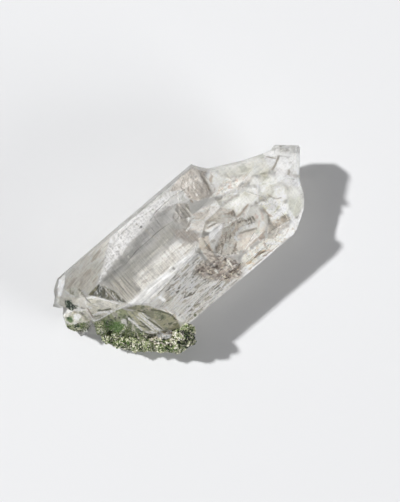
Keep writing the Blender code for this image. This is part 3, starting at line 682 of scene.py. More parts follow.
    patch("dark_fragment", ((15.9, -3.7), (18.2, -5.3), (19.1, -6.1), (18, -7.8), (16, -7.1), (14.3, -6.3),
        (14.5, -4.5)), (255, 251, 244), 0.64, 0.35, 0.35, ("chips", -40, 1.8, 0.8, 0.12), 0.08,
        (-20, 1.4, 0.4, 0.16, (176, 166, 156)), (10, 1.2, 0.4, 0.1, (248, 242, 234)),
        texture=(0.2, 0.2, 0.6)),
    patch("right_green", ((28.4, -8), (31.8, -9), (31.2, -11.3), (29.7, -12.8), (26.8, -13.2),
        (26.4, -11.5), (27.4, -9.5)), (232, 233, 222), 0.72, 0.5, 1.4, ("lines", -50, 1.2, 0.04), 0.03,
        (-50, 2, 0.6, 0.16, (228, 229, 217))),
    patch("right_white", ((26.6, -11.2), (27, -13.4), (29.7, -12.8), (27.9, -14.1), (25.2, -15.6),
        (25.5, -13.5)), (255, 255, 250), 0.95, 0.5, 0.8, ("chips", 30, 2, 1.2, 0.08), 0.03,
        texture=(0.1, 0.1, 0.6)),
    patch("dark_chip", ((21.2, -9.3), (24.1, -10.9), (25.9, -12), (24, -13.7), (21.9, -12.8), (19.5, -13.5),
        (18.1, -12.4), (19.5, -10.7)), (236, 227, 216), 0.45, 0.35, 0.3, ("chips", 45, 1.8, 1, 0.14), 0.08,
        (30, 1.4, 0.4, 0.16, (178, 168, 156)), (-30, 1.2, 0.4, 0.14, (248, 242, 233)),
        texture=(0.2, 0.2, 0.6)),
    patch("grey_hollow", ((20.2, -10.4), (21.4, -10.4), (21.7, -11.9), (20, -12.4), (18.8, -13.1),
        (18, -12.4)), (204, 198, 188), 0.45, 0.35, 0.4, ("chips", -60, 1.4, 0.6, 0.1), 0.1, sink=0.08),
    patch("brown_chip", ((24.2, -10.5), (25.3, -11.1), (24.9, -12), (23.5, -12.2), (23.4, -11.1)),
        (216, 206, 192), 0.5, 0.35, 0.6, ("grain", 0.7, 0.08), 0.16, sink=0.08),
    patch("sliver_tri", ((12.9, -6.9), (17.8, -8.3), (14.8, -8.6), (13.5, -8.6), (12.6, -7.6)),
        (250, 240, 230), 0.55, 0.35, 0.25, ("lines", -20, 0.7, 0.05), 0.08, sink=0.05),
    patch("golden_edge", ((8.4, -14.9), (10.5, -15.2), (14.5, -14.9), (18.3, -15.4), (21, -15.7),
        (20, -16.4), (12, -16.4), (7, -16)), (255, 252, 246), 0.92, 0.4, 0.4, ("chips", 2, 2.4, 0.6, 0.08),
        0.08, (0, 2, 0.4, 0.16, (190, 180, 166))),
    patch("tip_block", ((34.4, 4.5), (39.3, 0.3), (37.5, -1.2), (32.8, 3.2)), (206, 205, 201), 0.62, 0.4,
        0.3, ("grain", 0.6, 0.06), 0.08, (-40, 0.8, 0.5, 0.2, (192, 191, 187)),
        (0, 0.8, 0.5, 0.14, (234, 233, 231)), texture=(0.2, 0.2, 0.6)),
    patch("tip_mid", ((31.2, 4.2), (34.2, 2.4), (37, -0.8), (36, -1.6), (33.2, -4.3), (30.4, -0.8),
        (29.6, 1.2)), (250, 250, 247), 0.72, 0.45, 1, ("grain", 2, 0.03), 0.03,
        (-40, 1.8, 0.5, 0.14, (212, 211, 208))),
    patch("tip_pane", ((33.6, 0.9), (34.6, -0.6), (33.5, -2.7), (32.5, -2.3), (31.6, -0.4)),
        (247, 246, 244), 0.76, 0.45, 0.25, ("grain", 3, 0.02), 0.01, sink=0.04),
    patch("tip_shadow", ((30.3, -0.3), (31.5, -0.4), (32.5, -2.4), (33.2, -2.9), (32.2, -3.5), (30.5, -2.7),
        (29.9, -1.2)), (238, 236, 234), 0.62, 0.4, 0.4, ("grain", 1.5, 0.03), 0.02, sink=0.02),
    patch("tip_right", ((36.2, -0.5), (37.9, -1.6), (34.4, -5.6), (33.2, -4.1)), (255, 255, 252), 0.8, 0.45,
        0.8, ("lines", 50, 0.9, 0.04), 0.04, (50, 2, 0.45, 0.18, (236, 236, 233))),
    patch("tip_lower", ((29.7, -1.6), (32.9, -4.4), (34.4, -6.5), (32.8, -8.9), (30.5, -6.1), (29, -3.4)),
        (255, 255, 252), 0.84, 0.5, 1.2, ("chips", 0, 3, 1.4, 0.07), 0.03,
        (50, 1.6, 0.6, 0.12, (240, 239, 238))),

    # Slopes of the break that are turned away from the light: milky as their neighbours, with painted light
    # that lifts them out of their shade
    patch("chip_slope", ((7.3, -0.6), (10.4, -0.2), (13.5, -0.4), (15.7, -1.2), (13.2, -2.3), (10.5, -2),
        (8.2, -1.9)), (255, 250, 243), 0.9, 0.45, 0.5, ("lines", -40, 0.8, 0.02), 0.04,
        (-40, 1.4, 0.4, 0.14, (210, 200, 190))),
    patch("right_rim", ((28.8, -6), (30.8, -6.2), (33.1, -8.9), (31.9, -9.8), (29, -8.6)), (240, 240, 234),
        0.85, 0.5, 0.8, ("grain", 1.6, 0.03), 0.03),
    patch("lower_white", ((22, -13), (24, -13.8), (25.4, -12.9), (25.7, -15.4), (24.6, -16.2),
        (22.4, -15.7), (21.6, -14.2)), (255, 253, 246), 0.95, 0.5, 0.5, ("chips", 20, 1.6, 1, 0.06), 0.04,
        (20, 1.2, 0.4, 0.16, (214, 204, 192))),

    # The green root facets
    patch("moss_face", ((-28.6, 0.4), (-24.3, -1), (-21, -1.5), (-20.1, -3.2), (-20.2, -5), (-20.6, -8.5),
        (-19, -14.5), (-24, -14), (-28, -10.5), (-31, -6.5), (-31, -2.5)), (156, 162, 116), 0.6, 0.35, 0.5,
        ("chips", 50, 1.3, 0.9, 0.16), 0.14, (0, 1, 0.8, 0.2, (98, 114, 70)),
        (40, 1, 0.6, 0.14, (206, 204, 184)), (20, 0.7, 0.5, 0.06, (50, 58, 34)), texture=(0.1, 0.1, 0.8)),
    patch("moss_bright", ((-24.4, -3.2), (-22.1, -5.1), (-23.5, -5.9), (-25.4, -6.3), (-26.4, -5.1),
        (-25.8, -4)), (92, 132, 58), 0.75, 0.4, 0.8, ("grain", 1.2, 0.06), 0.1,
        (10, 1.2, 0.6, 0.14, (170, 176, 140)), texture=(0.1, 0.1, 0.6)),
    patch("moss_dark_1", ((-26.1, -1.3), (-24.3, -2.6), (-24.7, -3.9), (-26.6, -4.9), (-27.7, -4.3),
        (-27.3, -2.7)), (58, 92, 28), 0.7, 0.4, 0.7, ("grain", 0.8, 0.08), 0.2,
        (0, 0.9, 0.8, 0.34, (22, 40, 16)), (0, 0.9, 0.6, 0.12, (150, 150, 120)), sink=0.03,
        texture=(0.1, 0.1, 0.9)),
    patch("moss_dark_2", ((-25, -6.6), (-23, -7), (-22.4, -8.5), (-23.8, -10.2), (-25.8, -10.2),
        (-26.6, -8.5)), (100, 112, 70), 0.8, 0.4, 0.7, ("grain", 0.8, 0.08), 0.2,
        (0, 0.8, 0.7, 0.28, (48, 64, 26)), (0, 0.8, 0.6, 0.16, (180, 178, 150)), sink=0.03,
        texture=(0.1, 0.1, 0.9)),
    patch("olive_face", ((-19.8, -2.8), (-17.3, -3.7), (-15.2, -5.7), (-13.2, -8.9), (-11.8, -11.7),
        (-12.8, -15.5), (-16.3, -13.5), (-16.6, -9.5), (-17.7, -5.3)), (176, 173, 134), 0.5, 0.35, 0.4,
        ("grain", 1.6, 0.03), 0.06, (20, 1, 0.6, 0.22, (132, 136, 102)),
        (-30, 0.9, 0.5, 0.18, (198, 190, 166)), (0, 0.8, 0.5, 0.1, (84, 90, 60)),
        (60, 3, 2.4, 0.16, (140, 138, 106)), texture=(0.1, 0.3, 1)),
    patch("stripe_face", ((-20.1, -3.2), (-17.7, -5.3), (-16.6, -9.5), (-16.5, -13.8), (-18.1, -12.4),
        (-20.4, -9.6), (-20.2, -5)), (202, 199, 164), 0.55, 0.4, 0.5, ("lines", -82, 0.9, 0.08), 0.08,
        (-82, 3, 0.45, 0.2, (156, 154, 126)), texture=(0.2, 0.2, 0.9)),
    patch("beige_sliver", ((-14.9, -6.5), (-12.2, -9.9), (-11.3, -12.1), (-10.3, -15.9), (-12.3, -16),
        (-12.2, -14.2), (-12.1, -11.4), (-13.5, -8.6)), (255, 252, 244), 0.9, 0.4, 0.4,
        ("chips", -70, 1.8, 0.7, 0.1), 0.06, (-75, 1.6, 0.4, 0.16, (220, 208, 192))),
    patch("white_grains", ((-21.4, -9.6), (-18.3, -11.5), (-16.2, -14.5), (-14, -15.6), (-13.4, -17.2),
        (-17.3, -16.6), (-19.7, -14.3), (-21.2, -11.7)), (255, 252, 242), 0.95, 0.4, 0.4,
        ("chips", -60, 1.2, 0.6, 0.2), 0.1, (-60, 1, 0.4, 0.16, (196, 184, 166)),
        (-50, 0.9, 0.4, 0.08, (122, 124, 90)), texture=(0.1, 0.1, 0.9)),
)

# Cracks, bright edges and small spots on the upper surface, and a few painted highlights and painted shade:
# finish, width and corners
MARKS = (
    ("deep", 0.5, (17, 11.1), (15.8, 10.5), (15.5, 8.5), (15.3, 7.3)),
    ("deep", 0.25, (14.5, 6.7), (14.2, 4.5)), ("deep", 0.3, (7.2, 6.7), (7.2, 4.2)),
    ("pale", 0.25, (7.6, 6.5), (7.6, 4.2)), ("white", 0.3, (6.2, 2.6), (4.1, 2.1)),
    ("white", 0.25, (8.7, 11), (7.1, 8.8)), ("deep", 0.4, (8.9, -0.7), (10, -1), (11, -1.3)),
    ("white", 0.3, (8.9, -0.4), (10.6, -0.7), (11.6, -1.4)),
    ("deep", 0.35, (5.7, -2.6), (5.5, -4), (5.4, -5.3)),
    ("deep", 0.45, (16, -1.5), (15.5, -3), (15.2, -4.5)), ("white", 0.3, (15.8, -3.3), (15.7, -4.4)),
    ("warm", 0.4, (15.9, -3.4), (18, -3.2), (19.8, -2.8)),
    ("white", 0.5, (13.4, -6.2), (14.5, -6.5), (16.2, -7.2), (17.9, -8.3)),
    ("deep", 0.4, (13.8, -6.9), (16.1, -8), (17.6, -8.6)),
    ("white", 0.5, (13.4, -6.2), (12.4, -7), (12.3, -7.9)), ("white", 0.3, (13.8, -8.5), (15.5, -9.2)),
    ("dark", 0.3, (18.1, -5.6), (17.6, -7.1)), ("dark", 0.3, (18.7, -5.8), (18.5, -7.2)),
    ("white", 0.4, (17.1, -7.1), (18.5, -7.1)), ("white", 0.45, (21.7, -7.5), (22.3, -9), (22.6, -10.1)),
    ("warm", 0.3, (22.1, -6.1), (22.2, -7.8), (22.5, -9)), ("deep", 0.5, (21.9, -8.2), (21, -10.1)),
    ("white", 0.6, (26.7, -10.7), (26, -12.3), (25.1, -14.5)), ("white", 0.7, (25.2, -15), (24.8, -16)),
    ("white", 0.9, (27.8, -13.6), (29.8, -12.8)), ("gold", 0.9, (12.8, -11.2), (12.4, -13.6)),
    ("warm", 0.35, (11.3, -11), (13.4, -10.8), (16.5, -10.8), (18.6, -10.6)),
    ("warm", 0.3, (17.8, -11.3), (16.5, -13.1), (16.4, -14.7), (17, -15.5)),
    ("warm_dark", 0.5, (12.6, -13.9), (14.4, -13.9), (15.6, -14.5)),
    ("warm_dark", 0.4, (14.5, -15), (15.2, -15.3)), ("white", 0.35, (9.3, -14.5), (11.1, -14.7)),
    ("deep", 0.3, (11, -15.3), (13.8, -15.4)), ("white", 0.8, (8.2, -14.4), (8.5, -15)),
    ("white", 0.35, (25, -0.3), (23.8, -1.9), (21.5, -4.9)), ("pale", 0.3, (23, -3.9), (21.8, -5.5)),
    # On the bump dome: the deep mark along its lower rim is painted shade, and the two bright marks on its
    # upper side are painted highlights
    ("deep", 0.25, (25.2, -4.4), (26, -6.1), (27.3, -6.9)), ("bright", 1, (27.9, -4.3)),
    ("bright", 0.7, (28.7, -4.7)), ("deep", 0.5, (33.4, 1.4), (31.8, 0.5), (30.2, -0.1)),
    ("dark", 0.6, (35.5, 3)), ("deep", 0.6, (33.1, -3), (32.5, -3.5)),
    ("white", 0.5, (31.2, 4.2), (33.1, 3.3)), ("deep", 0.3, (31.1, 3.3), (32.5, 1.5)),
    ("bright", 0.9, (24.7, -13.7)), ("warm_dark", 0.35, (11.4, 10), (10.8, 9.2)),
    ("warm_dark", 0.6, (10.1, 8)), ("warm_dark", 0.5, (9.7, 7.1), (9.8, 6.6)), ("dark", 0.5, (-4.3, 11.4)),
    ("black", 0.6, (-3.9, 10.2)), ("dark", 0.3, (-4.5, -2.7), (-4.3, -3.1)),
    ("deep", 0.22, (-5.4, -2.9), (-4.9, -3.8), (-4.6, -5.6)), ("bright", 0.7, (-4.8, -2.2)),
    # The soft mark from (-8.9, 3) to (-1, 3.5) is a painted highlight streak
    ("soft", 0.35, (-8.9, 3), (-1, 3.5)), ("white", 0.2, (-1.5, 1.7), (-1.2, -3.3)),
    ("white", 0.2, (-0.6, 1.2), (-0.5, -2.9)), ("deep", 0.3, (-16.8, 3.5), (-16.6, 1), (-16.5, -2)),
    ("deep", 0.25, (-20.5, 5.7), (-20.4, 0)), ("deep", 0.2, (-17.1, 6.1), (-16.9, 0.3)),
    ("pale", 0.2, (-11, 6.8), (-11, 4.8)), ("deep", 0.25, (-3.4, 9.1), (-3.4, 6.8), (-2.7, 5.3)),
    ("dark", 0.4, (-25.7, 8.4), (-25.6, 7), (-25.8, 5.2), (-25.7, 4.2)),
    ("white", 0.45, (-26.5, 5.2), (-27.1, 3.7), (-28.1, 1), (-28.2, 0.1)),
    ("warm_dark", 0.35, (-27.2, 3.5), (-27.7, 1)), ("dark", 0.5, (-29.3, 3.6), (-29.4, 3.1)),
    ("white", 0.5, (-31.7, 6), (-30, 5.3), (-27.7, 3.3)), ("bright", 0.9, (-32.3, 2.6)),
    ("white", 0.35, (-25.5, 5.5), (-24.1, 4.6), (-21.8, 1.5), (-20.2, -1)),
    ("olive_dark", 0.5, (-25.5, 1.3), (-24.3, 0.4), (-22.9, -0.3)),
    ("white", 0.45, (-26, 1.1), (-24.5, 0.2), (-23.1, -0.8)),
    ("white", 0.35, (-28.2, 0.1), (-26.7, -0.5), (-23.3, -1.1), (-19, -2.2)),
    ("white", 0.5, (-21.1, -5), (-20.7, -7), (-20.5, -9.3)), ("white", 0.4, (-19.2, -8.6), (-18.9, -10.6)),
    ("white", 0.3, (-19.2, -5.9), (-18.3, -11.4)), ("white", 0.3, (-18.5, -5.9), (-17.7, -11.9)),
    ("white", 0.35, (-18.1, -5.8), (-17.3, -12.5)), ("white", 0.3, (-17.5, -5.8), (-16.9, -12.9)),
    ("olive_dark", 0.4, (-19.3, -7.5), (-18.9, -10.6)),
    ("olive_dark", 0.45, (-17.4, -8.5), (-17, -10.6), (-16.6, -12.5)),
    ("olive_dark", 0.4, (-20.3, -8), (-19.5, -9.3)), ("olive_dark", 0.4, (-17.9, -5.1), (-16.9, -6.6)),
    ("pale", 0.35, (-22.1, -5.5), (-23.1, -6.3), (-24.7, -6.6), (-25.9, -7.2)),
    ("olive_dark", 0.3, (-21.3, -4.9), (-22.1, -5.8)), ("pale", 1.4, (-22.5, -4.8)),
    ("olive_dark", 0.3, (-20.6, -10.3), (-19.9, -11.4), (-19.2, -12.9)),
    ("olive_dark", 0.5, (-15.2, -7.1), (-13.9, -8.6), (-12.6, -10.9), (-12.3, -12.8)),
    ("olive_dark", 0.7, (-14.1, -14.9), (-12.4, -15.7)), ("olive_dark", 0.8, (-8, -15.2)),
    ("bright", 0.9, (-11.6, -6.2), (-11.3, -7.3)), ("bright", 0.25, (-7.1, -14), (-6.4, -14.2)),
    ("bright", 0.7, (3.1, -10), (3.1, -10.6)), ("gold", 0.5, (7, -9.9), (6.8, -12.1)),
    ("deep", 0.4, (6.1, -10.5), (6.2, -12.4)), ("deep", 0.6, (2.4, -6.8), (3.2, -7)),
    ("deep", 0.5, (7, -5.7), (6.4, -6.8)),
)

# Finish of a mark: tint, frost, and how far it stands proud or is cut in
MARK_FINISHES = {
    # bright: white spots, and on the bump dome painted highlights
    "bright": ((255, 254, 248), 0.95, 0.05),
    "white": ((255, 253, 248), 0.80, 0.05),
    "pale": ((240, 238, 230), 0.65, 0.03),
    # soft: a painted highlight streak
    "soft": ((222, 219, 209), 0.40, 0.01),
    "gold": ((255, 246, 230), 0.80, 0.05),
    "warm": ((206, 190, 176), 0.45, -0.02),
    "warm_dark": ((160, 144, 128), 0.50, -0.04),
    # deep: dark cracks cut in, and along the bump dome's lower rim painted shade
    "deep": ((188, 181, 171), 0.35, -0.02),
    "dark": ((128, 122, 111), 0.50, -0.03),
    "black": ((30, 32, 24), 0.85, -0.05),
    "olive_dark": ((92, 94, 64), 0.60, -0.05),
}

# The surface where no patch lies, with its frost and haze on top and on the sides
PLAIN_TINT = (240, 238, 234)
TOP_FROST = 0.12
TOP_HAZE = 0.40
SIDE_FROST = 0.05
SIDE_HAZE = 0.20
FROST_SWING = 0.05
FROST_GRAIN = 2.5
WAVE_HEIGHT = 0.03
WAVE_SIZE = (9.0, 1.6, 1.6)
LINE_HEIGHT = 0.01
LINE_SPACING = 1.2

# Where the upper surface begins and how soon it is in full, by the way it faces and by its height
UPPER_FACING = (0.04, 0.12)
UPPER_HEIGHT = (1.0, 2.0)
TOP_FACING = (0.05, 0.2)

# How far a patch's border wanders, and the sizes of its turns
WIDE_WOBBLE = 0.35
WIDE_TURNS = 1.3
FINE_WOBBLE = 0.2
FINE_TURNS = 0.6
WOBBLE_REACH = 0.6
RELIEF_EDGE = 0.35
FLECK_EDGE = 0.16
FLECK_DEPTH = 3.0
FINE_FLECK = 0.4
FINE_FLECK_LENGTH = 0.5
FINE_FLECK_WIDTH = 0.6
FINE_FLECK_DEPTH = 2.0
MARK_EDGE = 0.16
MARK_MARGIN = 0.4
MARK_WOBBLE = 0.06
MARK_TURNS = 0.7
# Seeds of the first patch and of its flecks, and how far apart the next ones are
PATCH_SEED = 40
PATCH_SEED_STEP = 7
FLECK_SEED = 500
FLECK_SEED_STEP = 11
CRYSTAL_SMOOTH = 26

# Longest edges allowed on the crystal's mesh, and where its top, its sides and a smooth stretch of it lie
TOP_EDGE = 0.41
SMOOTH_EDGE = 0.60
SIDE_EDGE = 0.9
BASE_EDGE = 1.8
TOP_SLOPE = 0.12
SIDE_ABOVE = 5.0
SMOOTH_FROM = -18.0
SMOOTH_TO = 1.0
SMOOTH_ABOVE = -3.8


def crystal_limit(corners):
    """Fine where the crystal shows from above, coarser down its sides and under it."""
    facing, _ = facing_of(corners)
    middle = corners.mean(axis=1)
    smooth = (middle[:, 0] > SMOOTH_FROM) & (middle[:, 0] < SMOOTH_TO) & (middle[:, 1] > SMOOTH_ABOVE)
    limit = np.where(facing[:, 2] > TOP_SLOPE, np.where(smooth, SMOOTH_EDGE, TOP_EDGE), SIDE_EDGE)
    return np.where(corners[:, :, 2].max(axis=1) < SIDE_ABOVE, BASE_EDGE, limit)


def fleck_share(points, length, width, share, inside, seed):
    """Where flecks lie that run along x, from 0 to 1. They fill that share of the points inside."""
    value = noise(points, (length, width, FLECK_DEPTH), seed)
    fine_size = (FINE_FLECK_LENGTH * length, FINE_FLECK_WIDTH * width, FINE_FLECK_DEPTH)
    value += FINE_FLECK * noise(points, fine_size, seed + 1)
    if not inside.any():
        return np.zeros(len(points))
    return border(value - np.quantile(value[inside], 1.0 - share), FLECK_EDGE)


def flecked(points, tint, flecks, inside, seed):
    """The colour of each point: one tint, with the flecks that lie over it."""
    colour = np.tile(screen(tint), (len(points), 1))
    for order, (degrees, length, width, share, fleck_tint) in enumerate(flecks):
        run = turned(points, degrees)
        amount = fleck_share(run, length, width, share, inside, seed + FLECK_SEED_STEP * order)
        colour += amount[:, None] * (screen(fleck_tint) - colour)
    return colour


def close_to(points, upper, corners, margin):
    """Numbers of the upper surface's points that lie around those corners, seen from above."""
    corners = np.array(corners)
    low = corners.min(axis=0) - margin
    high = corners.max(axis=0) + margin
    flat = points[:, :2]
    return np.flatnonzero((upper > 0) & (flat > low).all(axis=1) & (flat < high).all(axis=1))


def dress_surface(piece):
    """Gives the crystal its relief, and writes its tint, frost and haze to the mesh, patch by patch."""
    points, normals = mesh_points(piece)
    upper = ramp(normals[:, 2], *UPPER_FACING) * ramp(points[:, 2], *UPPER_HEIGHT)
    facing = ramp(normals[:, 2], *TOP_FACING)
    tint = np.tile(screen(PLAIN_TINT), (len(points), 1))
    frost = SIDE_FROST + facing * (TOP_FROST - SIDE_FROST) + FROST_SWING * noise(points, FROST_GRAIN, 5)
    haze = SIDE_HAZE + facing * (TOP_HAZE - SIDE_HAZE)
    texture = np.tile(np.array(PLAIN_TEXTURE), (len(points), 1))
    lift = WAVE_HEIGHT * noise(points, WAVE_SIZE, 3) + LINE_HEIGHT * ridges(points, 90, LINE_SPACING, 4)
    wobble = WIDE_WOBBLE * noise(points, WIDE_TURNS, 11) + FINE_WOBBLE * noise(points, FINE_TURNS, 12)
    for index, area in enumerate(PATCHES):
        seed = PATCH_SEED + PATCH_SEED_STEP * index
        soft = area["soft"]
        near = close_to(points, upper, area["outline"], soft + WOBBLE_REACH)
        here = points[near]
        inside = depth_inside(here, area["outline"])
        share = eased(border(inside + wobble[near] * min(soft, 1.0), soft)) * upper[near]
        kind, *numbers, height = area["relief"]
        value = RELIEFS[kind](here, *numbers, seed)
        colour = flecked(here, area["tint"], area["flecks"], inside > 0, seed + FLECK_SEED)
        colour *= 1.0 + area["contrast"] * np.clip(value, -1.0, 1.0)[:, None] * 2.0
        blend(tint, near, share, colour)
        blend(frost, near, share, area["frost"])
        blend(haze, near, share, area["haze"])
        blend(texture, near, share, np.array(area["texture"]))
        blend(lift, near, border(inside, RELIEF_EDGE) * upper[near], height * value - area["sink"])
    for finish, width, *path in MARKS:
        colour, frosted, proud = MARK_FINISHES[finish]
        near = close_to(points, upper, path, width + MARK_MARGIN)
        here = points[near]
        away = distance_to(here, path) + MARK_WOBBLE * noise(here, MARK_TURNS, 21)
        share = border(0.5 * width - away, MARK_EDGE) * upper[near]
        blend(tint, near, share, screen(colour))
        blend(frost, near, share, frosted)
        lift[near] += share * proud
    points += normals * lift[:, None]
    points[:, 2] = np.maximum(points[:, 2], 0.0)
    move_points(piece, points)
    write_tint(piece.data, tint)
    write_number(piece.data, "frost", frost)
    write_number(piece.data, "haze", haze)
    for column, name in enumerate(TEXTURE_COUNTS):
        write_number(piece.data, name, texture[:, column])


# How many fine lines or grains there are to the metre along each axis, in the order of PLAIN_TEXTURE
TEXTURE_COUNTS = {
    "across": (2400.0, 130.0, 130.0), "along": (260.0, 2200.0, 2200.0), "grain": (2000.0, 2000.0, 2000.0),
}
NOISE_DETAIL = 3.0
# A noise lies mostly between these
NOISE_LOW = 0.3
NOISE_HIGH = 0.7
QUARTZ_IOR = 1.54
MILK_RADIUS = (1.0, 0.97, 0.92)
MILK_SCALE = 0.008
FOG_COLOUR = (0.78, 0.74, 0.66, 1)
FOG_DENSITY = 3.0
TEXTURE_FROST = 0.25
# Strength and distance of a bump
QUARTZ_BUMP = (0.6, 0.00004)
STONE_BUMP = (0.5, 0.0001)
# The texture's values and how light the tint is at them: dark, then light
SHADE_VALUES = (-1.0, 0.30)
SHADE_LIGHTNESS = (0.50, 1.10)


def fine_lines(tree, place, name):
    """Fine lines or grains of random strength from -1 to 1, as strong as the attribute of that name says."""
    stretched = added(tree, "Mapping", {"Vector": place, "Scale": TEXTURE_COUNTS[name]})
    lines = added(tree, "TexNoise", {"Vector": stretched, "Scale": 1.0, "Detail": NOISE_DETAIL}, "Fac")
    swing = in_range(tree, lines, NOISE_LOW, NOISE_HIGH, -1.0, 1.0)
    return reckoned(tree, "MULTIPLY", swing, attribute(tree, name))


def bumped(tree, height, strength, distance):
    return added(tree, "Bump", {"Strength": strength, "Distance": distance, "Height": height})


def quartz_material():
    """See-through quartz with a milky frosted share. Tint, frost, haze and fine lines come from the mesh."""
    quartz, tree, shader = new_material("clear_quartz")
    place = added(tree, "TexCoord", {}, "Object")
    across, along, grain = [fine_lines(tree, place, name) for name in TEXTURE_COUNTS]
    texture = reckoned(tree, "ADD", reckoned(tree, "ADD", across, along), grain)
    # The texture shows in the frost, in the tint and in the surface
    swing = reckoned(tree, "MULTIPLY", texture, TEXTURE_FROST)
    frosted = reckoned(tree, "ADD", attribute(tree, "frost"), swing)
    clear = reckoned(tree, "SUBTRACT", 1.0, frosted)
    lightness = in_range(tree, texture, *SHADE_VALUES, *SHADE_LIGHTNESS)
    shade = added(tree, "HueSaturation", {"Color": attribute(tree, "tint", "Color"), "Value": lightness})
    connect(tree, shader, {
        "IOR": QUARTZ_IOR,
        "Subsurface Weight": 1.0,
        "Subsurface Radius": MILK_RADIUS,
        "Subsurface Scale": MILK_SCALE,
        "Roughness": attribute(tree, "haze"),
        "Transmission Weight": in_range(tree, clear, 0.0, 1.0, 0.0, 1.0),
        "Base Color": shade,
        "Normal": bumped(tree, texture, *QUARTZ_BUMP),
    })
    fog = added(tree, "VolumeAbsorption", {"Color": FOG_COLOUR, "Density": FOG_DENSITY})
    connect(tree, tree.nodes["Material Output"], {"Volume": fog})
    return quartz


def crystal():
    piece = piece_from("quartz_crystal", "clear_crystal")
    refine(piece, crystal_limit)
    dress_surface(piece)
    finish_piece(piece, quartz_material(), "quartz_crystal", CRYSTAL_SMOOTH)
    return piece


# The chlorite crust

CRUST_GRIT = 0.5
GRAIN_GRIT = 0.3
STONE_ROUGHNESS = 0.5


def chlorite_material(name, grit_size):
    """Granular chlorite and grit, with its colours from the mesh."""
    stone, tree, shader = new_material(name)
    place = added(tree, "TexCoord", {}, "Object")
    per_metre = 1.0 / (grit_size * MM)
    grit = added(tree, "TexNoise", {"Vector": place, "Scale": per_metre, "Detail": NOISE_DETAIL}, "Fac")
    connect(tree, shader, {
        "Roughness": STONE_ROUGHNESS,
        "Base Color": attribute(tree, "tint", "Color"),
        "Normal": bumped(tree, grit, *STONE_BUMP),
    })
    return stone


CRUST_EDGE = 0.45
# Direction, length and width of the crust's chips, and how high they and its grains are
CRUST_CHIPS = (20, 1.1, 0.9)
CRUST_CHIP_HEIGHT = 0.28
CRUST_GRAIN = 0.7
CRUST_GRAIN_HEIGHT = 0.10
CRUST_LOWEST = 0.1
CRUST_SMOOTH = 20
CRUST_TINT = (160, 166, 128)
CRUST_FLECKS = (
    (0, 1.2, 1.0, 0.28, (206, 206, 180)),
    (60, 0.9, 0.8, 0.24, (98, 118, 66)),
    (30, 0.8, 0.7, 0.12, (52, 66, 34)),
)


def crust():
    piece = piece_from("chlorite_crust", "crust_body")
    refine(piece, lambda corners: np.full(len(corners), CRUST_EDGE))
    points, normals = mesh_points(piece)
    lift = CRUST_CHIP_HEIGHT * chips(points, *CRUST_CHIPS, 901)
    lift += CRUST_GRAIN_HEIGHT * noise(points, CRUST_GRAIN, 902)
    colour = flecked(points, CRUST_TINT, CRUST_FLECKS, points[:, 2] > 1.0, 910)
    points += normals * lift[:, None]
    points[:, 2] = np.maximum(points[:, 2], CRUST_LOWEST)
    move_points(piece, points)
    write_tint(piece.data, colour)
    coat = chlorite_material("chlorite_crust", CRUST_GRIT)
    finish_piece(piece, coat, "chlorite_crust", CRUST_SMOOTH)
    return piece


# The grains on the crust and on the crystal's root

GRAIN_LOWEST = 0.05
# How much the grains differ: their two widths, the swing of their corners and the lightness of their tints
GRAIN_LONG = (0.8, 1.3)
GRAIN_WIDE = (0.7, 1.1)
GRAIN_ROUGH = 0.18
TINT_SWING = (0.7, 1.25)


def sites(piece, count, seed, outline=None, steep=-1.0, low=0.4):
    """Random places on the piece, in an outline seen from above, where the surface isn't too steep or low."""
    points, _ = mesh_points(piece)
    corners = points[corners_of(piece)]
    normals, areas = facing_of(corners)
    middle = corners.mean(axis=1)
    wanted = (normals[:, 2] > steep) & (middle[:, 2] > low)
    if outline is not None:
        wanted &= depth_inside(middle, outline) > 0
    chance = np.where(wanted, areas, 0.0)
    dice = np.random.default_rng(seed)
    picked = dice.choice(len(areas), size=count, p=chance / chance.sum())
    share = dice.random((count, 2))
    over = share.sum(axis=1) > 1.0
    share[over] = 1.0 - share[over]
    base = corners[picked, 0]
    places = base + share[:, :1] * (corners[picked, 1] - base) + share[:, 1:] * (corners[picked, 2] - base)
    return places, normals[picked]


def grain_shape():
    """Corners and faces of one rough grain, modelled once."""
    bpy.ops.object.select_all(action="DESELECT")
    bpy.ops.mesh.primitive_ico_sphere_add(subdivisions=1, radius=1.0)
    model = bpy.context.object
    corners = np.array([vert.co[:] for vert in model.data.vertices])
    faces = np.array([face.vertices[:] for face in model.data.polygons])
    bpy.ops.object.delete()
    return corners, faces


def strewn(name, places, sizes, flatness, tints, material, seed):
    """One mesh of many grains, each turned and squashed its own way."""
    shape, faces = grain_shape()
    dice = np.random.default_rng(seed)
    count = len(places)
    turns, _ = np.linalg.qr(dice.normal(size=(count, 3, 3)))
    turns[:, :, 0] *= np.sign(np.linalg.det(turns))[:, None]
    stretch = np.stack((dice.uniform(*GRAIN_LONG, count), dice.uniform(*GRAIN_WIDE, count), flatness), axis=1)
    corners = shape[None] * (1.0 + GRAIN_ROUGH * dice.normal(size=(count, len(shape), 1)))
    corners = corners * (stretch * sizes[:, None])[:, None, :]
    corners = np.einsum("nij,nkj->nki", turns, corners) + places[:, None, :]
    corners[:, :, 2] = np.maximum(corners[:, :, 2], GRAIN_LOWEST)
    links = faces[None] + (np.arange(count) * len(shape))[:, None, None]
    mesh = bpy.data.meshes.new(name)
    mesh.from_pydata(in_metres(corners.reshape(-1, 3)).tolist(), [], links.reshape(-1, 3).tolist())
    write_tint(mesh, np.repeat(tints, len(shape), axis=0))
    mesh.materials.append(material)
    piece = bpy.data.objects.new(name, mesh)
    bpy.context.scene.collection.objects.link(piece)
    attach(piece, "root")


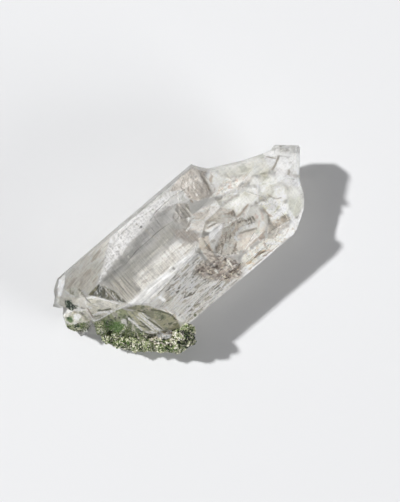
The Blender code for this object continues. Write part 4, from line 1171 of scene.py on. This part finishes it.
def mixed_tints(count, seed, mix):
    """Tints for that many grains, drawn from (share, colour) pairs, each a little lighter or darker."""
    dice = np.random.default_rng(seed)
    chance = np.array([share for share, _ in mix])
    palette = np.array([screen(colour) for _, colour in mix])
    picked = dice.choice(len(mix), size=count, p=chance / chance.sum())
    return palette[picked] * dice.uniform(*TINT_SWING, (count, 1))


CRUST_GRAINS = 5200
CRUST_SIZES = (0.10, 0.32)
CRUST_FLATNESS = (0.5, 1.0)
CRUST_PROUD = 0.05
CRUST_MIX = (
    (0.34, (196, 198, 166)), (0.20, (230, 227, 210)), (0.22, (128, 144, 92)), (0.16, (78, 102, 48)),
    (0.08, (36, 52, 22)),
)
DARK_MIX = ((0.52, (20, 26, 14)), (0.20, (58, 76, 34)), (0.16, (236, 230, 214)), (0.12, (150, 154, 120)))
PALE_MIX = ((0.52, (240, 234, 220)), (0.24, (196, 188, 168)), (0.14, (104, 112, 66)), (0.10, (66, 58, 44)))
PALE_PART = (
    (-21.4, -9.6), (-18.3, -11.5), (-16.2, -14.5), (-14.0, -15.6), (-13.4, -17.2), (-17.3, -17.4),
    (-20.4, -14.6),
)
DARK_END = (
    (-14.1, -15.4), (-11.2, -16.4), (-10.6, -17.9), (-11.8, -20.2), (-14.4, -21.2), (-16.1, -18.8),
    (-16.3, -16.3),
)
# Single coloured specks: place, reach and colour
WHITE_SPECK = (246, 242, 232)
BLACK_SPECK = (22, 26, 16)
SPECKS = (
    ((-17.1, -14.6), 0.5, (214, 122, 58)), ((-17.8, -14.7), 0.4, (40, 62, 32)),
    ((-15.7, -17.6), 0.3, (30, 32, 24)), ((-14.5, -16.6), 0.35, WHITE_SPECK),
    ((-14.6, -15.7), 0.35, WHITE_SPECK), ((-16.2, -17.1), 0.3, WHITE_SPECK),
    ((-10.6, -15.9), 0.5, BLACK_SPECK), ((-11.9, -16.3), 0.4, BLACK_SPECK),
)


def crust_grains(body, coat):
    """Grains of chlorite and pale grit over the crust, whitest in the middle, darkest at its right end."""
    dice = np.random.default_rng(77)
    places, normals = sites(body, CRUST_GRAINS, 71)
    tints = mixed_tints(len(places), 72, CRUST_MIX)
    for outline, seed, mix in ((DARK_END, 73, DARK_MIX), (PALE_PART, 75, PALE_MIX)):
        within = depth_inside(places, outline) > 0
        tints[within] = mixed_tints(int(within.sum()), seed, mix)
    for place, reach, colour in SPECKS:
        tints[distance_to(places, (place,)) < reach] = screen(colour)
    sizes = dice.uniform(*CRUST_SIZES, len(places))
    flatness = dice.uniform(*CRUST_FLATNESS, len(places))
    strewn("crust_grains", places + normals * CRUST_PROUD, sizes, flatness, tints, coat, 74)


SMALLEST_GRAIN = 0.08
# Grains of the root sit where the surface faces up by this much at least, and above this height
ROOT_STEEP = 0.1
ROOT_LOW = 1.0
ROOT_FLATNESS = (0.3, 0.7)
MOSS_MIX = (
    (0.26, (176, 180, 142)), (0.14, (226, 222, 202)), (0.26, (104, 124, 70)), (0.20, (60, 84, 38)),
    (0.14, (28, 42, 18)),
)
CLUSTER_MIX = ((0.7, (22, 38, 26)), (0.2, (60, 84, 60)), (0.1, (200, 204, 186)))
ROOT_FOOT = (
    (-28.6, -0.4), (-26.2, -1.2), (-24.6, -2.8), (-23.0, -5.4), (-22.2, -8.0), (-20.4, -10.6),
    (-19.6, -14.5), (-24.0, -14.5), (-28.0, -10.5), (-31.0, -6.5), (-31.0, -2.5),
)
LUMP_FOOT = ((-34.4, 4.4), (-32.7, 2.6), (-30.4, 1.5), (-29.8, -0.2), (-31.6, -0.6), (-34.8, 2.0))
DARK_CLUSTER = ((-31.2, 7.4), (-30.3, 8.6), (-29.2, 7.5), (-29.4, 5.3), (-31.0, 5.9))
DARK_SPECK = ((-32.9, 2.6), (-31.6, 2.2), (-31.9, 1.3), (-33.0, 1.8))
# Where single grains of chlorite sit on the crystal's root: outline, how many, largest size and mix
ROOT_PARTS = (
    (ROOT_FOOT, 1700, 0.22, MOSS_MIX), (LUMP_FOOT, 420, 0.20, MOSS_MIX),
    (DARK_CLUSTER, 130, 0.24, CLUSTER_MIX), (DARK_SPECK, 60, 0.22, CLUSTER_MIX),
)
# Patches whose grains take on most of the patch's own tint
GREEN_PATCHES = ("moss_bright", "moss_dark_1", "moss_dark_2")
GREEN_SHARE = 0.65


def root_grains(body, coat):
    """Grains of chlorite half sunk into the crystal's root."""
    for index, (outline, count, largest, mix) in enumerate(ROOT_PARTS):
        dice = np.random.default_rng(80 + index)
        places, _ = sites(body, count, 85 + index, outline, ROOT_STEEP, ROOT_LOW)
        tints = mixed_tints(count, 90 + index, mix)
        for area in PATCHES:
            if area["name"] in GREEN_PATCHES:
                green = depth_inside(places, area["outline"]) > 0
                tints[green] += GREEN_SHARE * (screen(area["tint"]) - tints[green])
        sizes = dice.uniform(SMALLEST_GRAIN, largest, count)
        flatness = dice.uniform(*ROOT_FLATNESS, count)
        strewn("root_grains_%d" % (index + 1), places, sizes, flatness, tints, coat, 95 + index)


def look():
    """How light travels through the crystal, and how the picture shows its colours."""
    scene = bpy.context.scene
    scene.view_settings.view_transform = "Standard"
    scene.cycles.max_bounces = 24
    scene.cycles.transmission_bounces = 20
    scene.cycles.glossy_bounces = 8
    scene.cycles.diffuse_bounces = 5
    scene.cycles.caustics_reflective = True
    scene.cycles.caustics_refractive = True
    scene.cycles.blur_glossy = 0.3
    scene.cycles.sample_clamp_indirect = 6.0
    scene.cycles.use_denoising = True


camera()
lights()
floor()
quartz = crystal()
bank = crust()
grain_coat = chlorite_material("crust_grains", GRAIN_GRIT)
crust_grains(bank, grain_coat)
root_grains(quartz, grain_coat)
look()
